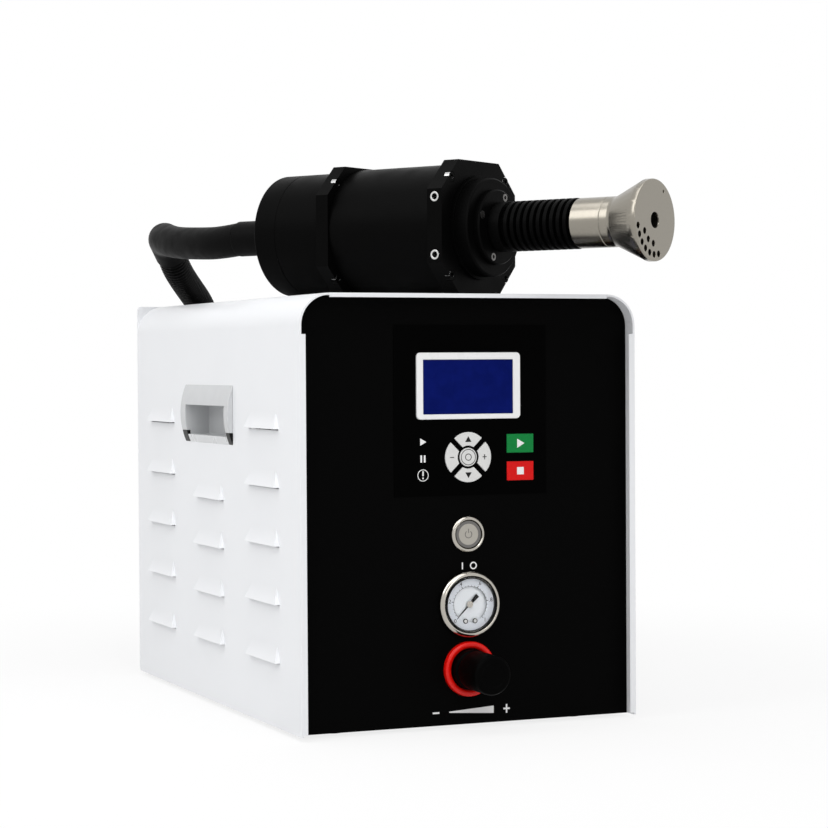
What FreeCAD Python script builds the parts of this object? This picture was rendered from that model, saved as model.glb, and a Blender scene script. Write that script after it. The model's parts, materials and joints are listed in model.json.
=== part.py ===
"""Rotary plasma torch lying on its generator cabinet, with its hose coiled behind.

The cabinet stands on the plane z = 0 and faces -Y, with +X to its right. The torch has its own
frame: its axis is local Z, pointing out of the nozzle, and its front flange's face is local z = 0.
"""
import FreeCAD, Part
import math
import os
import Sketcher

Vector = FreeCAD.Vector
Rotation = FreeCAD.Rotation
Placement = FreeCAD.Placement

doc = FreeCAD.newDocument("plasma_treatment_unit")
sheet = doc.addObject("Spreadsheet::Sheet", "Sizes")
sub_parts = []


# Named sizes, in millimetres and degrees

SIZES = {
    # Cabinet
    "cabinet_width": 254.0,
    "cabinet_depth": 390.0,
    "cabinet_height": 300.0,
    "cover_sheet": 1.5,
    "cover_round": 22.0,
    "seam_gap": 0.2,
    "panel_recess": 11.0,
    "panel_sheet": 2.0,
    "lip_width": 4.5,
    "lip_start": 1.5,
    "lip_below_top": 28.0,
    "top_lip": 3.0,
    "ledge_width": 10.0,
    "tray_wall": 15.0,
    "tray_end_wall": 6.0,
    "foot_height": 3.0,
    "foot_radius": 9.0,
    "foot_inset": 35.0,
    "foot_hole": 2.25,
    "rear_corner": 3.0,
    # Louvres
    "hood_width": 65.0,
    "hood_top_width": 51.0,
    "hood_height": 12.0,
    "hood_proud": 4.0,
    "hood_skin": 1.2,
    "hood_column_y": 2.0,
    "hood_column_pitch": 122.0,
    "outer_hood_low": 45.5,
    "outer_hood_pitch": 40.4,
    "middle_hood_low": 45.5,
    "middle_hood_pitch": 35.5,
    # Side handles
    "handle_y": 4.5,
    "handle_length": 115.0,
    "handle_low": 193.0,
    "handle_tall": 44.0,
    "handle_bulge": 4.5,
    "handle_bar_tall": 6.0,
    "handle_block_tall": 9.0,
    "handle_front_block": 9.0,
    "handle_rear_block": 12.0,
    "pocket_tall": 22.5,
    "pocket_depth": 15.0,
    "pocket_rise": 9.0,
    "tub_wall": 1.5,
    # Front panel pieces: places are from the cabinet's middle plane and its underside
    "overlay_left": -54.5,
    "overlay_right": 61.5,
    "overlay_tall": 118.4,
    "overlay_below_top": 21.6,
    "overlay_sheet": 0.5,
    "bezel_left": -38.0,
    "bezel_right": 41.0,
    "bezel_tall": 46.3,
    "bezel_below_overlay_top": 19.1,
    "bezel_proud": 1.6,
    "bezel_corner": 3.0,
    "window_left": -33.0,
    "window_right": 35.5,
    "window_tall": 37.9,
    "window_below_bezel_top": 4.9,
    "window_sunk": 0.8,
    "key_gap": 0.3,
    "key_proud": 0.5,
    "key_travel": 0.4,
    "pad_x": 1.2,
    "pad_rise": 26.4,
    "pad_radius": 17.5,
    "pad_split": 3.8,
    "pad_inner": 8.0,
    "menu_radius": 6.5,
    "run_left": 30.9,
    "run_right": 51.5,
    "run_rise": 28.8,
    "run_tall": 13.2,
    "stop_rise": 9.4,
    "stop_tall": 13.3,
    "board_gap": 1.6,
    "board_sheet": 1.6,
    "board_post_radius": 3.0,
    "board_post_inset": 6.0,
    "controls_x": 0.8,
    "button_ring_radius": 12.7,
    "button_ring_proud": 2.2,
    "button_bore": 10.0,
    "button_barrel": 11.0,
    "button_depth": 26.0,
    "button_cap_radius": 9.7,
    "button_cap_proud": 1.4,
    "button_cap_length": 6.4,
    "button_well": 9.0,
    "gauge_ring_radius": 23.0,
    "gauge_ring_proud": 6.0,
    "gauge_case_radius": 20.5,
    "gauge_case_depth": 26.0,
    "gauge_dial_radius": 18.6,
    "gauge_dial_height": 1.0,
    "gauge_dial_sheet": 0.5,
    "gauge_lens_height": 4.0,
    "gauge_lens_sheet": 0.9,
    "gauge_lens_radius": 19.4,
    "gauge_pin_radius": 0.8,
    "gauge_needle_reach": 14.0,
    "gauge_needle_tail": 6.0,
    "regulator_ring_radius": 19.25,
    "regulator_ring_inner": 14.5,
    "regulator_ring_proud": 5.0,
    "bonnet_radius": 14.2,
    "bonnet_proud": 11.0,
    "regulator_block": 42.0,
    "regulator_depth": 52.0,
    "spindle_radius": 5.0,
    "spindle_clearance": 0.08,
    "knob_radius": 13.75,
    "knob_start": 12.5,
    "knob_front": 42.0,
    # Rear panel pieces
    "fan_x": -60.0,
    "fan_z": 205.0,
    "fan_square": 80.0,
    "fan_thick": 25.0,
    "fan_bore": 38.0,
    "fan_blade_reach": 36.5,
    "fan_hub": 15.0,
    "fan_motor_thick": 8.0,
    "fan_spindle": 2.0,
    "grille_slot_tall": 4.5,
    "grille_pitch": 9.0,
    "inlet_x": 78.0,
    "inlet_z": 60.0,
    "inlet_flange_width": 50.0,
    "inlet_flange_tall": 24.0,
    "inlet_body_width": 28.0,
    "inlet_body_tall": 20.0,
    "inlet_depth": 22.0,
    "inlet_recess_width": 24.4,
    "inlet_recess_tall": 16.4,
    "inlet_recess_depth": 18.0,
    "inlet_pin_length": 11.0,
    "fitting_x": 78.0,
    "fitting_z": 112.0,
    "fitting_bore": 4.05,
    "fitting_bore_depth": 18.0,
    "fitting_radius": 8.0,
    "fitting_barrel": 6.5,
    "fitting_proud": 14.0,
    "socket_z": 20.0,
    "socket_radius": 15.0,
    "socket_barrel": 11.5,
    "socket_proud": 20.0,
    # Transformer and inverter inside the cabinet
    "transformer_left": -85.0,
    "transformer_front": -60.0,
    "transformer_width": 100.0,
    "transformer_depth": 50.0,
    "transformer_tall": 80.0,
    "transformer_limb": 18.0,
    "winding_radius": 22.0,
    "inverter_left": 35.0,
    "inverter_front": -100.0,
    "inverter_width": 75.0,
    "inverter_length": 160.0,
    "inverter_rise": 10.0,
    "inverter_post_inset": 6.0,
    "sink_inset": 10.0,
    "sink_front": -60.0,
    "sink_length": 90.0,
    "sink_base": 6.0,
    "sink_tall": 34.0,
    "sink_fin": 2.0,
    # Torch
    "torch_x": 16.7,
    "torch_y": -171.2,
    "torch_turn": 32.05,
    "flange_square": 93.5,
    "flange_chamfer": 21.3,
    "front_flange_thick": 12.2,
    "rear_flange_thick": 10.5,
    "main_tube_radius": 45.6,
    "main_tube_length": 86.0,
    "rear_tube_radius": 44.5,
    "rear_tube_length": 39.8,
    "tube_wall": 6.0,
    "rear_cap_thick": 19.5,
    "cap_spigot": 4.0,
    "bearing_outer": 21.0,
    "bearing_width": 7.0,
    "bearing_clearance": 0.05,
    "housing_radius": 34.5,
    "housing_step_radius": 36.5,
    "housing_step": 2.5,
    "housing_length": 12.5,
    "spigot_radius": 30.0,
    "cover_radius": 26.3,
    "cover_thick": 4.5,
    "cover_running_gap": 0.8,
    "shaft_radius": 15.0,
    "shaft_bore": 9.0,
    "shaft_spigot": 12.0,
    "neck_radius": 17.5,
    "neck_root": 13.5,
    "neck_collar": 9.2,
    "fins_start": 31.0,
    "fin_pitch": 5.3,
    "fin_thick": 2.9,
    "nozzle_radius": 17.2,
    "nozzle_bore": 13.0,
    "nozzle_tube_length": 23.0,
    "nozzle_joint": 8.0,
    "head_neck": 7.0,
    "head_flare": 22.5,
    "head_rim": 4.5,
    "head_radius": 27.7,
    "jet_radius": 5.25,
    "jet_length": 14.0,
    "balance_radius": 2.15,
    "balance_depth": 6.0,
    "balance_outer_circle": 23.0,
    "balance_inner_circle": 15.8,
    "stator_outer_gap": 0.1,
    "stator_inner": 27.0,
    "rotor_outer": 26.4,
    "motor_length": 40.0,
    "motor_start": 28.0,
    "electrode_radius": 4.0,
    "electrode_reach": 118.0,
    "holder_thick": 12.0,
    "corner_screw_place": 34.0,
    "corner_screw_head": 3.5,
    "corner_screw_shank": 2.0,
    "corner_screw_tall": 4.0,
    "cover_screw_circle": 22.3,
    "cover_screw_head": 2.75,
    "cover_screw_shank": 1.5,
    "cover_screw_tall": 2.6,
    "screw_gap": 0.3,
    "insert_spread": 40.0,
    "insert_radius": 3.5,
    "insert_bore": 2.1,
    "insert_length": 10.0,
    "gland_radius": 15.0,
    "gland_nut": 12.0,
    "gland_boot": 36.0,
    "gland_stem": 10.8,
    # Hose
    "hose_radius": 12.0,
    "sleeve_radius": 12.4,
    "coil_x": 110.0,
    "coil_y": 345.0,
    "coil_mean_radius": 110.0,
}


class Size:
    """A length or an angle that carries its formula in the sheet with its value."""

    def __init__(self, value, formula):
        self.value = float(value)
        self.formula = formula

    def __float__(self):
        return self.value

    def __neg__(self):
        return Size(-self.value, f"(0 - {self.formula})")

    def __add__(self, other):
        return Size(self.value + float(other), f"({self.formula} + {formula_of(other)})")

    def __radd__(self, other):
        return Size(float(other) + self.value, f"({formula_of(other)} + {self.formula})")

    def __sub__(self, other):
        return Size(self.value - float(other), f"({self.formula} - {formula_of(other)})")

    def __rsub__(self, other):
        return Size(float(other) - self.value, f"({formula_of(other)} - {self.formula})")

    def __mul__(self, other):
        return Size(self.value * float(other), f"({self.formula} * {formula_of(other)})")

    def __rmul__(self, other):
        return Size(float(other) * self.value, f"({formula_of(other)} * {self.formula})")

    def __truediv__(self, other):
        return Size(self.value / float(other), f"({self.formula} / {formula_of(other)})")


def formula_of(amount):
    if isinstance(amount, Size):
        return amount.formula
    return f"({float(amount)!r})"


class NamedSizes:
    """The sheet's sizes, each read by its name."""

    def __getattr__(self, alias):
        return Size(SIZES[alias], f"Sizes.{alias}")


mm = NamedSizes()
for row, (alias, value) in enumerate(SIZES.items(), 1):
    sheet.set(f"A{row}", alias)
    sheet.set(f"B{row}", str(value))
    sheet.setAlias(f"B{row}", alias)
doc.recompute()

# Shares of the free height under the overlay
ROOM_OVER_BUTTON = 0.2934
ROOM_OVER_GAUGE = 0.2595
ROOM_OVER_REGULATOR = 0.0589

# How many of each repeated feature
outer_hood_count = 5
middle_hood_count = 4
fan_blade_count = 7
grille_slot_count = 8
fin_count = 10
sink_fin_count = 6
coil_layers = 3

# Places worked out from the sizes
half_width = mm.cabinet_width / 2
front_y = -mm.cabinet_depth / 2
back_y = mm.cabinet_depth / 2
cover_end = back_y - mm.cover_sheet
inner_x = half_width - mm.cover_sheet
panel_face = front_y + mm.panel_recess
panel_back = panel_face + mm.panel_sheet
pocket_front = mm.handle_y - mm.handle_length / 2 + mm.handle_front_block
pocket_rear = mm.handle_y + mm.handle_length / 2 - mm.handle_rear_block
overlay_high = mm.cabinet_height - mm.overlay_below_top
overlay_low = overlay_high - mm.overlay_tall
bezel_high = overlay_high - mm.bezel_below_overlay_top
bezel_low = bezel_high - mm.bezel_tall
window_high = bezel_high - mm.window_below_bezel_top
window_low = window_high - mm.window_tall
pad_z = overlay_low + mm.pad_rise
run_low = overlay_low + mm.run_rise
run_high = run_low + mm.run_tall
stop_low = overlay_low + mm.stop_rise
stop_high = stop_low + mm.stop_tall
room = overlay_low - (mm.button_ring_radius + mm.gauge_ring_radius + mm.regulator_ring_radius) * 2
button_z = overlay_low - room * ROOM_OVER_BUTTON - mm.button_ring_radius
gauge_z = button_z - mm.button_ring_radius - room * ROOM_OVER_GAUGE - mm.gauge_ring_radius
regulator_z = gauge_z - mm.gauge_ring_radius - room * ROOM_OVER_REGULATOR - mm.regulator_ring_radius
flange_half = mm.flange_square / 2
main_tube_start = -mm.front_flange_thick
rear_flange_front = main_tube_start - mm.main_tube_length
rear_flange_back = rear_flange_front - mm.rear_flange_thick
rear_cap_front = rear_flange_back - mm.rear_tube_length
rear_cap_back = rear_cap_front - mm.rear_cap_thick
gland_end = rear_cap_back - mm.gland_nut - mm.gland_boot
cover_front = mm.housing_length + mm.cover_thick
neck_start = cover_front + mm.cover_running_gap
neck_end = mm.fins_start + mm.fin_pitch * fin_count
head_start = neck_end + mm.nozzle_tube_length
head_cone = head_start + mm.head_neck
head_wide = head_cone + mm.head_flare
head_front = head_wide + mm.head_rim

LEFT, RIGHT = -1, 1
UPRIGHT = Rotation()
TOWARDS_FRONT = Rotation(Vector(1, 0, 0), 90)
TOWARDS_BACK = Rotation(Vector(1, 0, 0), -90)


# Building blocks

def bind(obj, prop, amount):
    """Set a property, from the sheet where the amount is a named size."""
    setattr(obj, prop, float(amount))
    if isinstance(amount, Size):
        obj.setExpression(prop, amount.formula)


def put(obj, x=0.0, y=0.0, z=0.0, turn=UPRIGHT):
    """Place an object, with each coordinate bound to the sheet where it is a named size."""
    obj.Placement = Placement(Vector(float(x), float(y), float(z)), turn)
    for axis, amount in zip("xyz", (x, y, z)):
        if isinstance(amount, Size):
            obj.setExpression(f"Placement.Base.{axis}", amount.formula)
    return obj


def block(name, x, y, z):
    """A box between the low and high ends given for each axis."""
    box = doc.addObject("Part::Box", name)
    for prop, (low, high) in zip(("Length", "Width", "Height"), (x, y, z)):
        bind(box, prop, high - low)
    return put(box, x[0], y[0], z[0])


def rod(name, radius, length, x=0.0, y=0.0, z=0.0, turn=UPRIGHT, sector=360.0):
    """A cylinder, or a sector of one, that starts at a point and runs along the turned Z axis."""
    cylinder = doc.addObject("Part::Cylinder", name)
    bind(cylinder, "Radius", radius)
    bind(cylinder, "Height", length)
    cylinder.Angle = sector
    return put(cylinder, x, y, z, turn)


def fuse(name, shapes):
    joined = doc.addObject("Part::MultiFuse", name)
    joined.Shapes = shapes
    return joined


def cut(name, base, tools):
    result = doc.addObject("Part::Cut", name)
    result.Base = base
    result.Tool = tools[0] if len(tools) == 1 else fuse(f"{name}_tools", tools)
    return result


def common(name, shapes):
    shared = doc.addObject("Part::MultiCommon", name)
    shared.Shapes = shapes
    return shared


def group(name, shapes):
    together = doc.addObject("Part::Compound", name)
    together.Links = shapes
    return together


def new_body(name):
    return doc.addObject("PartDesign::Body", name)


def origin_plane(body, role):
    return next(item for item in body.Origin.OriginFeatures if item.Role == role)


def new_sketch(body, role, offset=0.0):
    """A sketch on one of the body's own planes, moved along that plane's normal."""
    drawing = body.newObject("Sketcher::SketchObject", f"{body.Name}_sketch")
    drawing.AttachmentSupport = [(origin_plane(body, role), "")]
    drawing.MapMode = "FlatFace"
    drawing.AttachmentOffset = Placement(Vector(0, 0, float(offset)), Rotation())
    if isinstance(offset, Size):
        drawing.setExpression("AttachmentOffset.Base.z", offset.formula)
    return drawing


def constrain(drawing, kind, index, amount):
    """Hold a line's start at a distance from the sketch's origin."""
    if isinstance(amount, Size):
        number = drawing.addConstraint(Sketcher.Constraint(kind, -1, 1, index, 1, float(amount)))
        drawing.setExpression(f"Constraints[{number}]", amount.formula)
    elif amount == 0:
        axis = -2 if kind == "DistanceX" else -1
        drawing.addConstraint(Sketcher.Constraint("PointOnObject", index, 1, axis))
    else:
        drawing.addConstraint(Sketcher.Constraint(kind, -1, 1, index, 1, float(amount)))


def outline(drawing, points):
    """A closed line through points, each held by its two coordinates."""
    corners = [Vector(float(x), float(y), 0) for x, y in points]
    ends = corners[1:] + corners[:1]
    drawing.addGeometry([Part.LineSegment(a, b) for a, b in zip(corners, ends)], False)
    count = len(corners)
    for index in range(count):
        drawing.addConstraint(Sketcher.Constraint("Coincident", index, 2, (index + 1) % count, 1))
    for index, (x, y) in enumerate(points):
        constrain(drawing, "DistanceX", index, x)
        constrain(drawing, "DistanceY", index, y)


def turned(name, profile):
    """A body turned about local Z, from points given as radius and height."""
    body = new_body(name)
    drawing = new_sketch(body, "XZ_Plane")
    outline(drawing, profile)
    spin = body.newObject("PartDesign::Revolution", f"{name}_spin")
    spin.Profile = drawing
    spin.ReferenceAxis = (drawing, ["V_Axis"])
    spin.Angle = 360
    body.Tip = spin
    return body


def padded(name, role, start, length, points):
    """A body padded from an outline on an origin plane, towards that plane's normal."""
    body = new_body(name)
    drawing = new_sketch(body, role, start)
    outline(drawing, points)
    pad = body.newObject("PartDesign::Pad", f"{name}_pad")
    pad.Profile = drawing
    bind(pad, "Length", length)
    body.Tip = pad
    return body


def round_edges(body, radius, wanted):
    """Fillet the edges of the body's tip whose middle point the test accepts."""
    doc.recompute()
    base = body.Tip
    names = []
    for number, edge in enumerate(base.Shape.Edges, 1):
        if wanted(edge.valueAt((edge.FirstParameter + edge.LastParameter) / 2), edge):
            names.append(f"Edge{number}")
    fillet = body.newObject("PartDesign::Fillet", f"{body.Name}_round")
    fillet.Base = (base, names)
    bind(fillet, "Radius", radius)
    body.Tip = fillet
    return body


def rectangle(x, y):
    return [(x[0], y[0]), (x[1], y[0]), (x[1], y[1]), (x[0], y[1])]


def in_cabinet(obj, label):
    """Lift a sub-part that is modelled from the cabinet's underside by the height of the feet."""
    height = dict(obj.ExpressionEngine).get("Placement.Base.z", repr(obj.Placement.Base.z))
    obj.Placement.Base += Vector(0, 0, float(mm.foot_height))
    obj.setExpression("Placement.Base.z", f"{height} + {mm.foot_height.formula}")
    keep(obj, label)


def in_torch(obj, label):
    """Finish a sub-part that is modelled in the torch's frame."""
    lying = Rotation(Vector(0, 0, 1), float(mm.torch_turn)).multiply(TOWARDS_FRONT)
    put(obj, mm.torch_x, mm.torch_y, mm.foot_height + mm.cabinet_height + flange_half, lying)
    keep(obj, label)


def keep(obj, label):
    """List a sub-part under the name of its file."""
    obj.Label = label
    sub_parts.append(obj)


def on_panel(obj, x, z):
    """Turn a sub-part modelled along Z so that it stands out of the front panel's face."""
    return put(obj, x, panel_face, mm.foot_height + z, TOWARDS_FRONT)


def on_back(obj, x, z):
    """Turn a sub-part modelled along Z so that it stands out of the rear panel's face."""
    return put(obj, x, back_y, mm.foot_height + z, TOWARDS_BACK)


# Cabinet shell

def base_tray():
    """Open tray that the cover slides over and both panels stand against."""
    edge = inner_x - mm.seam_gap
    start = panel_back
    outer = block("tray_outer", (-edge, edge), (start, cover_end), (0.0, mm.tray_wall))
    wall = edge - mm.cover_sheet
    hollow = block("tray_hollow", (-wall, wall), (start + mm.cover_sheet, cover_end - mm.cover_sheet),
                   (mm.cover_sheet, mm.tray_wall + 1))
    front_low = block("tray_front_low", (-wall, wall), (start - 1, start + mm.cover_sheet + 1),
                      (mm.tray_end_wall, mm.tray_wall + 1))
    back_low = block("tray_back_low", (-wall, wall), (cover_end - mm.cover_sheet - 1, cover_end + 1),
                     (mm.tray_end_wall, mm.tray_wall + 1))
    holes = [rod("tray_foot_hole", mm.foot_hole, mm.cover_sheet + 2, x, y, -1.0)
             for x, y in foot_places()]
    in_cabinet(cut("tray", outer, [hollow, front_low, back_low] + holes), "base_tray")


def foot_places():
    for x_side in (LEFT, RIGHT):
        for y_side in (LEFT, RIGHT):
            yield x_side * (half_width - mm.foot_inset), y_side * (back_y - mm.foot_inset)


def rubber_feet():
    """Four low feet, each with a hole through which a screw can hold the unit to a shelf."""
    feet = []
    for x, y in foot_places():
        foot = turned("foot", [
            (mm.foot_hole, 0.0), (mm.foot_radius - 1, 0.0), (mm.foot_radius, mm.foot_height),
            (mm.foot_hole, mm.foot_height)])
        feet.append(put(foot, x, y, 0.0))
    keep(group("feet", feet), "rubber_feet")


def side_turn(side):
    """Turn that sends local X along the wall, local Y up and local Z out of that side wall."""
    return Rotation(Vector(0, side, 0), Vector(0, 0, 1), Vector(side, 0, 0), "ZXY")


def louvre_wedge(side, y, z, low, high, bottom, top, inside, start_width, end_width):
    wedge = doc.addObject("Part::Wedge", "louvre")
    for prop, amount in (("Xmin", -start_width / 2), ("Xmax", start_width / 2),
                         ("X2min", -end_width / 2), ("X2max", end_width / 2),
                         ("Ymin", low), ("Ymax", high),
                         ("Zmin", inside), ("Zmax", bottom), ("Z2min", inside), ("Z2max", top)):
        bind(wedge, prop, amount)
    return put(wedge, side * half_width, y, z, side_turn(side))


def louvre(side, y, z):
    """A pressed hood that opens downwards, and the space inside it with its slot in the wall."""
    hood = louvre_wedge(side, y, z, 0.0, mm.hood_height, mm.hood_proud, 0.0, -mm.cover_sheet / 2,
                        mm.hood_width, mm.hood_top_width)
    space = louvre_wedge(side, y, z, -0.8, mm.hood_height - mm.hood_skin, mm.hood_proud - mm.hood_skin,
                         -mm.hood_skin, -mm.cover_sheet - 1, mm.hood_width - 2 * mm.hood_skin,
                         mm.hood_top_width - 2 * mm.hood_skin)
    return hood, space


def louvre_places():
    for number in range(outer_hood_count):
        for side in (LEFT, RIGHT):
            height = mm.outer_hood_low + mm.outer_hood_pitch * number
            yield mm.hood_column_y + side * mm.hood_column_pitch, height
    for number in range(middle_hood_count):
        yield mm.hood_column_y, mm.middle_hood_low + mm.middle_hood_pitch * number


def cover_shell():
    """Sheet folded over both sides and the top, with front lips, ledges and pressed louvres."""
    top = mm.cabinet_height
    sheet_body = padded("cover_fold", "XZ_Plane", -cover_end, cover_end - front_y, [
        (-half_width, 0.0), (-half_width, top), (half_width, top), (half_width, 0.0),
        (inner_x, 0.0), (inner_x, top - mm.cover_sheet), (-inner_x, top - mm.cover_sheet),
        (-inner_x, 0.0)])
    outer_x, inner = float(half_width), float(inner_x)
    outer_z, inner_z = float(top), float(top - mm.cover_sheet)
    round_edges(sheet_body, mm.cover_round, lambda p, e: abs(abs(p.x) - outer_x) < 0.01
                and abs(p.z - outer_z) < 0.01)
    round_edges(sheet_body, mm.cover_round - mm.cover_sheet, lambda p, e: abs(abs(p.x) - inner) < 0.01
                and abs(p.z - inner_z) < 0.01)
    pieces = [sheet_body]
    lip_y = (front_y, front_y + mm.cover_sheet)
    for side in (LEFT, RIGHT):
        ends = sorted((side * inner_x, side * (half_width - mm.lip_width)), key=float)
        pieces.append(block("side_lip", ends, lip_y, (mm.lip_start, top - mm.lip_below_top)))
        ledge = sorted((side * inner_x, side * (inner_x - mm.ledge_width)), key=float)
        rise = (mm.tray_wall + 1, top - mm.cover_round)
        pieces.append(block("rear_ledge", ledge, (cover_end - mm.cover_sheet, cover_end), rise))
        pieces.append(block("front_ledge", ledge, (panel_back, panel_back + mm.cover_sheet), rise))
    flat = half_width - mm.cover_round
    pieces.append(block("top_lip", (-flat, flat), lip_y, (top - mm.top_lip, top - mm.cover_sheet)))
    openings = []
    for side in (LEFT, RIGHT):
        for y, z in louvre_places():
            hood, space = louvre(side, y, z)
            pieces.append(hood)
            openings.append(space)
        openings.append(tub_block(side, "handle_cutout", mm.seam_gap, -1.0))
    in_cabinet(cut("cover", fuse("cover_solid", pieces), openings), "cover_shell")


def rear_panel():
    """Flat rear plate with the fan's slots and an opening for each fitted piece."""
    plate = padded("rear_plate", "XZ_Plane", -back_y, mm.cover_sheet,
                   rectangle((-half_width, half_width), (0.0, mm.cabinet_height)))
    round_edges(plate, mm.rear_corner, lambda p, e: abs(p.y - (float(back_y - mm.cover_sheet / 2))) < 0.01)
    holes = []
    reach = float(mm.fan_bore) - 2
    for number in range(grille_slot_count):
        height = (number - (grille_slot_count - 1) / 2) * mm.grille_pitch
        chord = math.sqrt(max(reach ** 2 - (abs(float(height)) + float(mm.grille_slot_tall) / 2) ** 2, 1))
        holes.append(block("grille_slot", (mm.fan_x - chord, mm.fan_x + chord), (cover_end - 1, back_y + 1),
                           (mm.fan_z + height - mm.grille_slot_tall / 2,
                            mm.fan_z + height + mm.grille_slot_tall / 2)))
    holes.append(block("inlet_hole", (mm.inlet_x - mm.inlet_body_width / 2 - mm.seam_gap,
                                      mm.inlet_x + mm.inlet_body_width / 2 + mm.seam_gap),
                       (cover_end - 1, back_y + 1),
                       (mm.inlet_z - mm.inlet_body_tall / 2 - mm.seam_gap,
                        mm.inlet_z + mm.inlet_body_tall / 2 + mm.seam_gap)))
    for x, z, radius in ((mm.fitting_x, mm.fitting_z, mm.fitting_barrel),
                         (0.0, mm.socket_z, mm.socket_barrel)):
        holes.append(rod("round_hole", radius + mm.seam_gap, mm.cover_sheet + 2, x, cover_end - 1, z,
                         TOWARDS_BACK))
    for x, z in rear_screw_places():
        holes.append(rod("screw_hole", mm.cover_screw_shank + 0.1, mm.cover_sheet + 2, x, cover_end - 1, z,
                         TOWARDS_BACK))
    in_cabinet(cut("rear", plate, holes), "rear_panel")


def rear_screw_places():
    for side in (LEFT, RIGHT):
        for share in (0.12, 0.5, 0.88):
            yield side * (inner_x - mm.ledge_width / 2), mm.cabinet_height * share


def rear_panel_screws():
    screws = []
    for number, (x, z) in enumerate(rear_screw_places()):
        screw = turned(f"panel_screw_{number}", [
            (0.0, -mm.cover_sheet), (mm.cover_screw_shank, -mm.cover_sheet), (mm.cover_screw_shank, 0.0),
            (mm.cover_screw_head + 0.5, 0.0), (mm.cover_screw_head + 0.5, 0.9),
            (mm.cover_screw_head - 0.8, 2.0), (0.0, 2.0)])
        put(screw, x, back_y, z, TOWARDS_BACK)
        screws.append(screw)
    in_cabinet(group("rear_screws", screws), "rear_panel_screws")


# Handles

def tub_block(side, name, grow, inwards):
    """The handle's tub, grown by a gap, from outside the wall to past the tub's floor."""
    depth = mm.pocket_depth + mm.tub_wall
    low_x = half_width - depth + inwards
    high_x = half_width + 2 if inwards else half_width
    ends = sorted((side * low_x, side * high_x), key=float)
    floor = mm.handle_low + mm.handle_bar_tall - mm.tub_wall - grow
    margin = mm.tub_wall + grow
    return block(name, ends, (pocket_front - margin, pocket_rear + margin),
                 (floor, floor + mm.pocket_tall + mm.pocket_rise + 2 * mm.tub_wall + 2 * grow))


def handle_arch(side, name):
    """The part of a flat arch that stands proud of the side wall."""
    half_tall = mm.handle_tall / 2
    radius = (half_tall * half_tall + mm.handle_bulge * mm.handle_bulge) / (2 * mm.handle_bulge)
    centre_x = half_width + mm.handle_bulge - radius
    low_y = mm.handle_y - mm.handle_length / 2
    arch = rod(f"{name}_arch", radius, mm.handle_length, side * centre_x, low_y,
               mm.handle_low + half_tall, TOWARDS_BACK)
    ends = sorted((side * half_width, side * (half_width + mm.handle_bulge + 1)), key=float)
    limit = block(f"{name}_limit", ends, (low_y - 1, low_y + mm.handle_length + 1),
                  (mm.handle_low - 1, mm.handle_low + mm.handle_tall + 1))
    return common(name, [arch, limit])


def handle_zones(side):
    """Boxes over the bar's stretch and over the two end blocks at the handle's foot."""
    out = half_width + mm.handle_bulge + 2
    ends = sorted((side * (half_width - 0.0), side * out), key=float)
    bar = (pocket_front, pocket_rear)
    bar_z = (mm.handle_low - 2, mm.handle_low + mm.handle_bar_tall)
    block_z = (mm.handle_low - 2, mm.handle_low + mm.handle_block_tall)
    low_y = mm.handle_y - mm.handle_length / 2
    blocks = [(low_y - 1, pocket_front), (pocket_rear, low_y + mm.handle_length + 1)]
    return ends, bar, bar_z, blocks, block_z


def side_handle(side, label):
    """Recessed pull: an arched face with a finger pocket that rises behind its upper edge."""
    ends, bar, bar_z, blocks, block_z = handle_zones(side)
    arch = handle_arch(side, f"{label}_face")
    tub = tub_block(side, f"{label}_tub", 0.0, 0.0)
    floor_x = half_width - mm.pocket_depth
    mouth = sorted((side * floor_x, side * (half_width + mm.handle_bulge + 2)), key=float)
    behind = sorted((side * floor_x, side * half_width), key=float)
    floor_z = mm.handle_low + mm.handle_bar_tall
    tools = [
        block("pocket", mouth, (pocket_front, pocket_rear), (floor_z, floor_z + mm.pocket_tall)),
        block("pocket_rise", behind, (pocket_front, pocket_rear),
              (floor_z + 1, floor_z + mm.pocket_tall + mm.pocket_rise)),
        block("bar_place", ends, bar, bar_z)]
    tools += [block("end_place", ends, place, block_z) for place in blocks]
    in_cabinet(cut(label, fuse(f"{label}_solid", [arch, tub]), tools), label)


def handle_trim():
    """The bright bar at each handle's foot, and the dark blocks at the bar's ends."""
    bars, blocks = [], []
    for side in (LEFT, RIGHT):
        ends, bar, bar_z, places, block_z = handle_zones(side)
        face = handle_arch(side, "bar_face")
        bars.append(common("handle_bar", [face, block("bar_zone", ends, bar, bar_z)]))
        for place in places:
            face = handle_arch(side, "end_face")
            blocks.append(common("end_block", [face, block("end_zone", ends, place, block_z)]))
    in_cabinet(group("bars", bars), "handle_bars")
    in_cabinet(group("end_blocks", blocks), "handle_end_blocks")


# Front panel and its pieces

def key_square(x, z, grow, y):
    return block("square_shape", (x[0] - grow, x[1] + grow), y, (z[0] - grow, z[1] + grow))


def pad_key(quarter, grow, y):
    """One arrow key: a quarter disc moved out from the pad's centre, less the middle disc."""
    middle_angle = 90 * quarter
    shift = mm.pad_split / math.sqrt(2) - grow * math.sqrt(2)
    x = mm.pad_x + shift * math.cos(math.radians(middle_angle))
    z = pad_z + shift * math.sin(math.radians(middle_angle))
    facing = TOWARDS_FRONT.multiply(Rotation(Vector(0, 0, 1), middle_angle - 45))
    sector = rod("arrow_sector", mm.pad_radius - mm.pad_split / math.sqrt(2) + grow * (1 + math.sqrt(2)),
                 y[1] - y[0], x, y[1], z, facing, 90.0)
    middle = rod("arrow_middle", mm.pad_inner - grow, y[1] - y[0] + 2, mm.pad_x, y[1] + 1, pad_z,
                 TOWARDS_FRONT)
    return cut("arrow_shape", sector, [middle])


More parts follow.
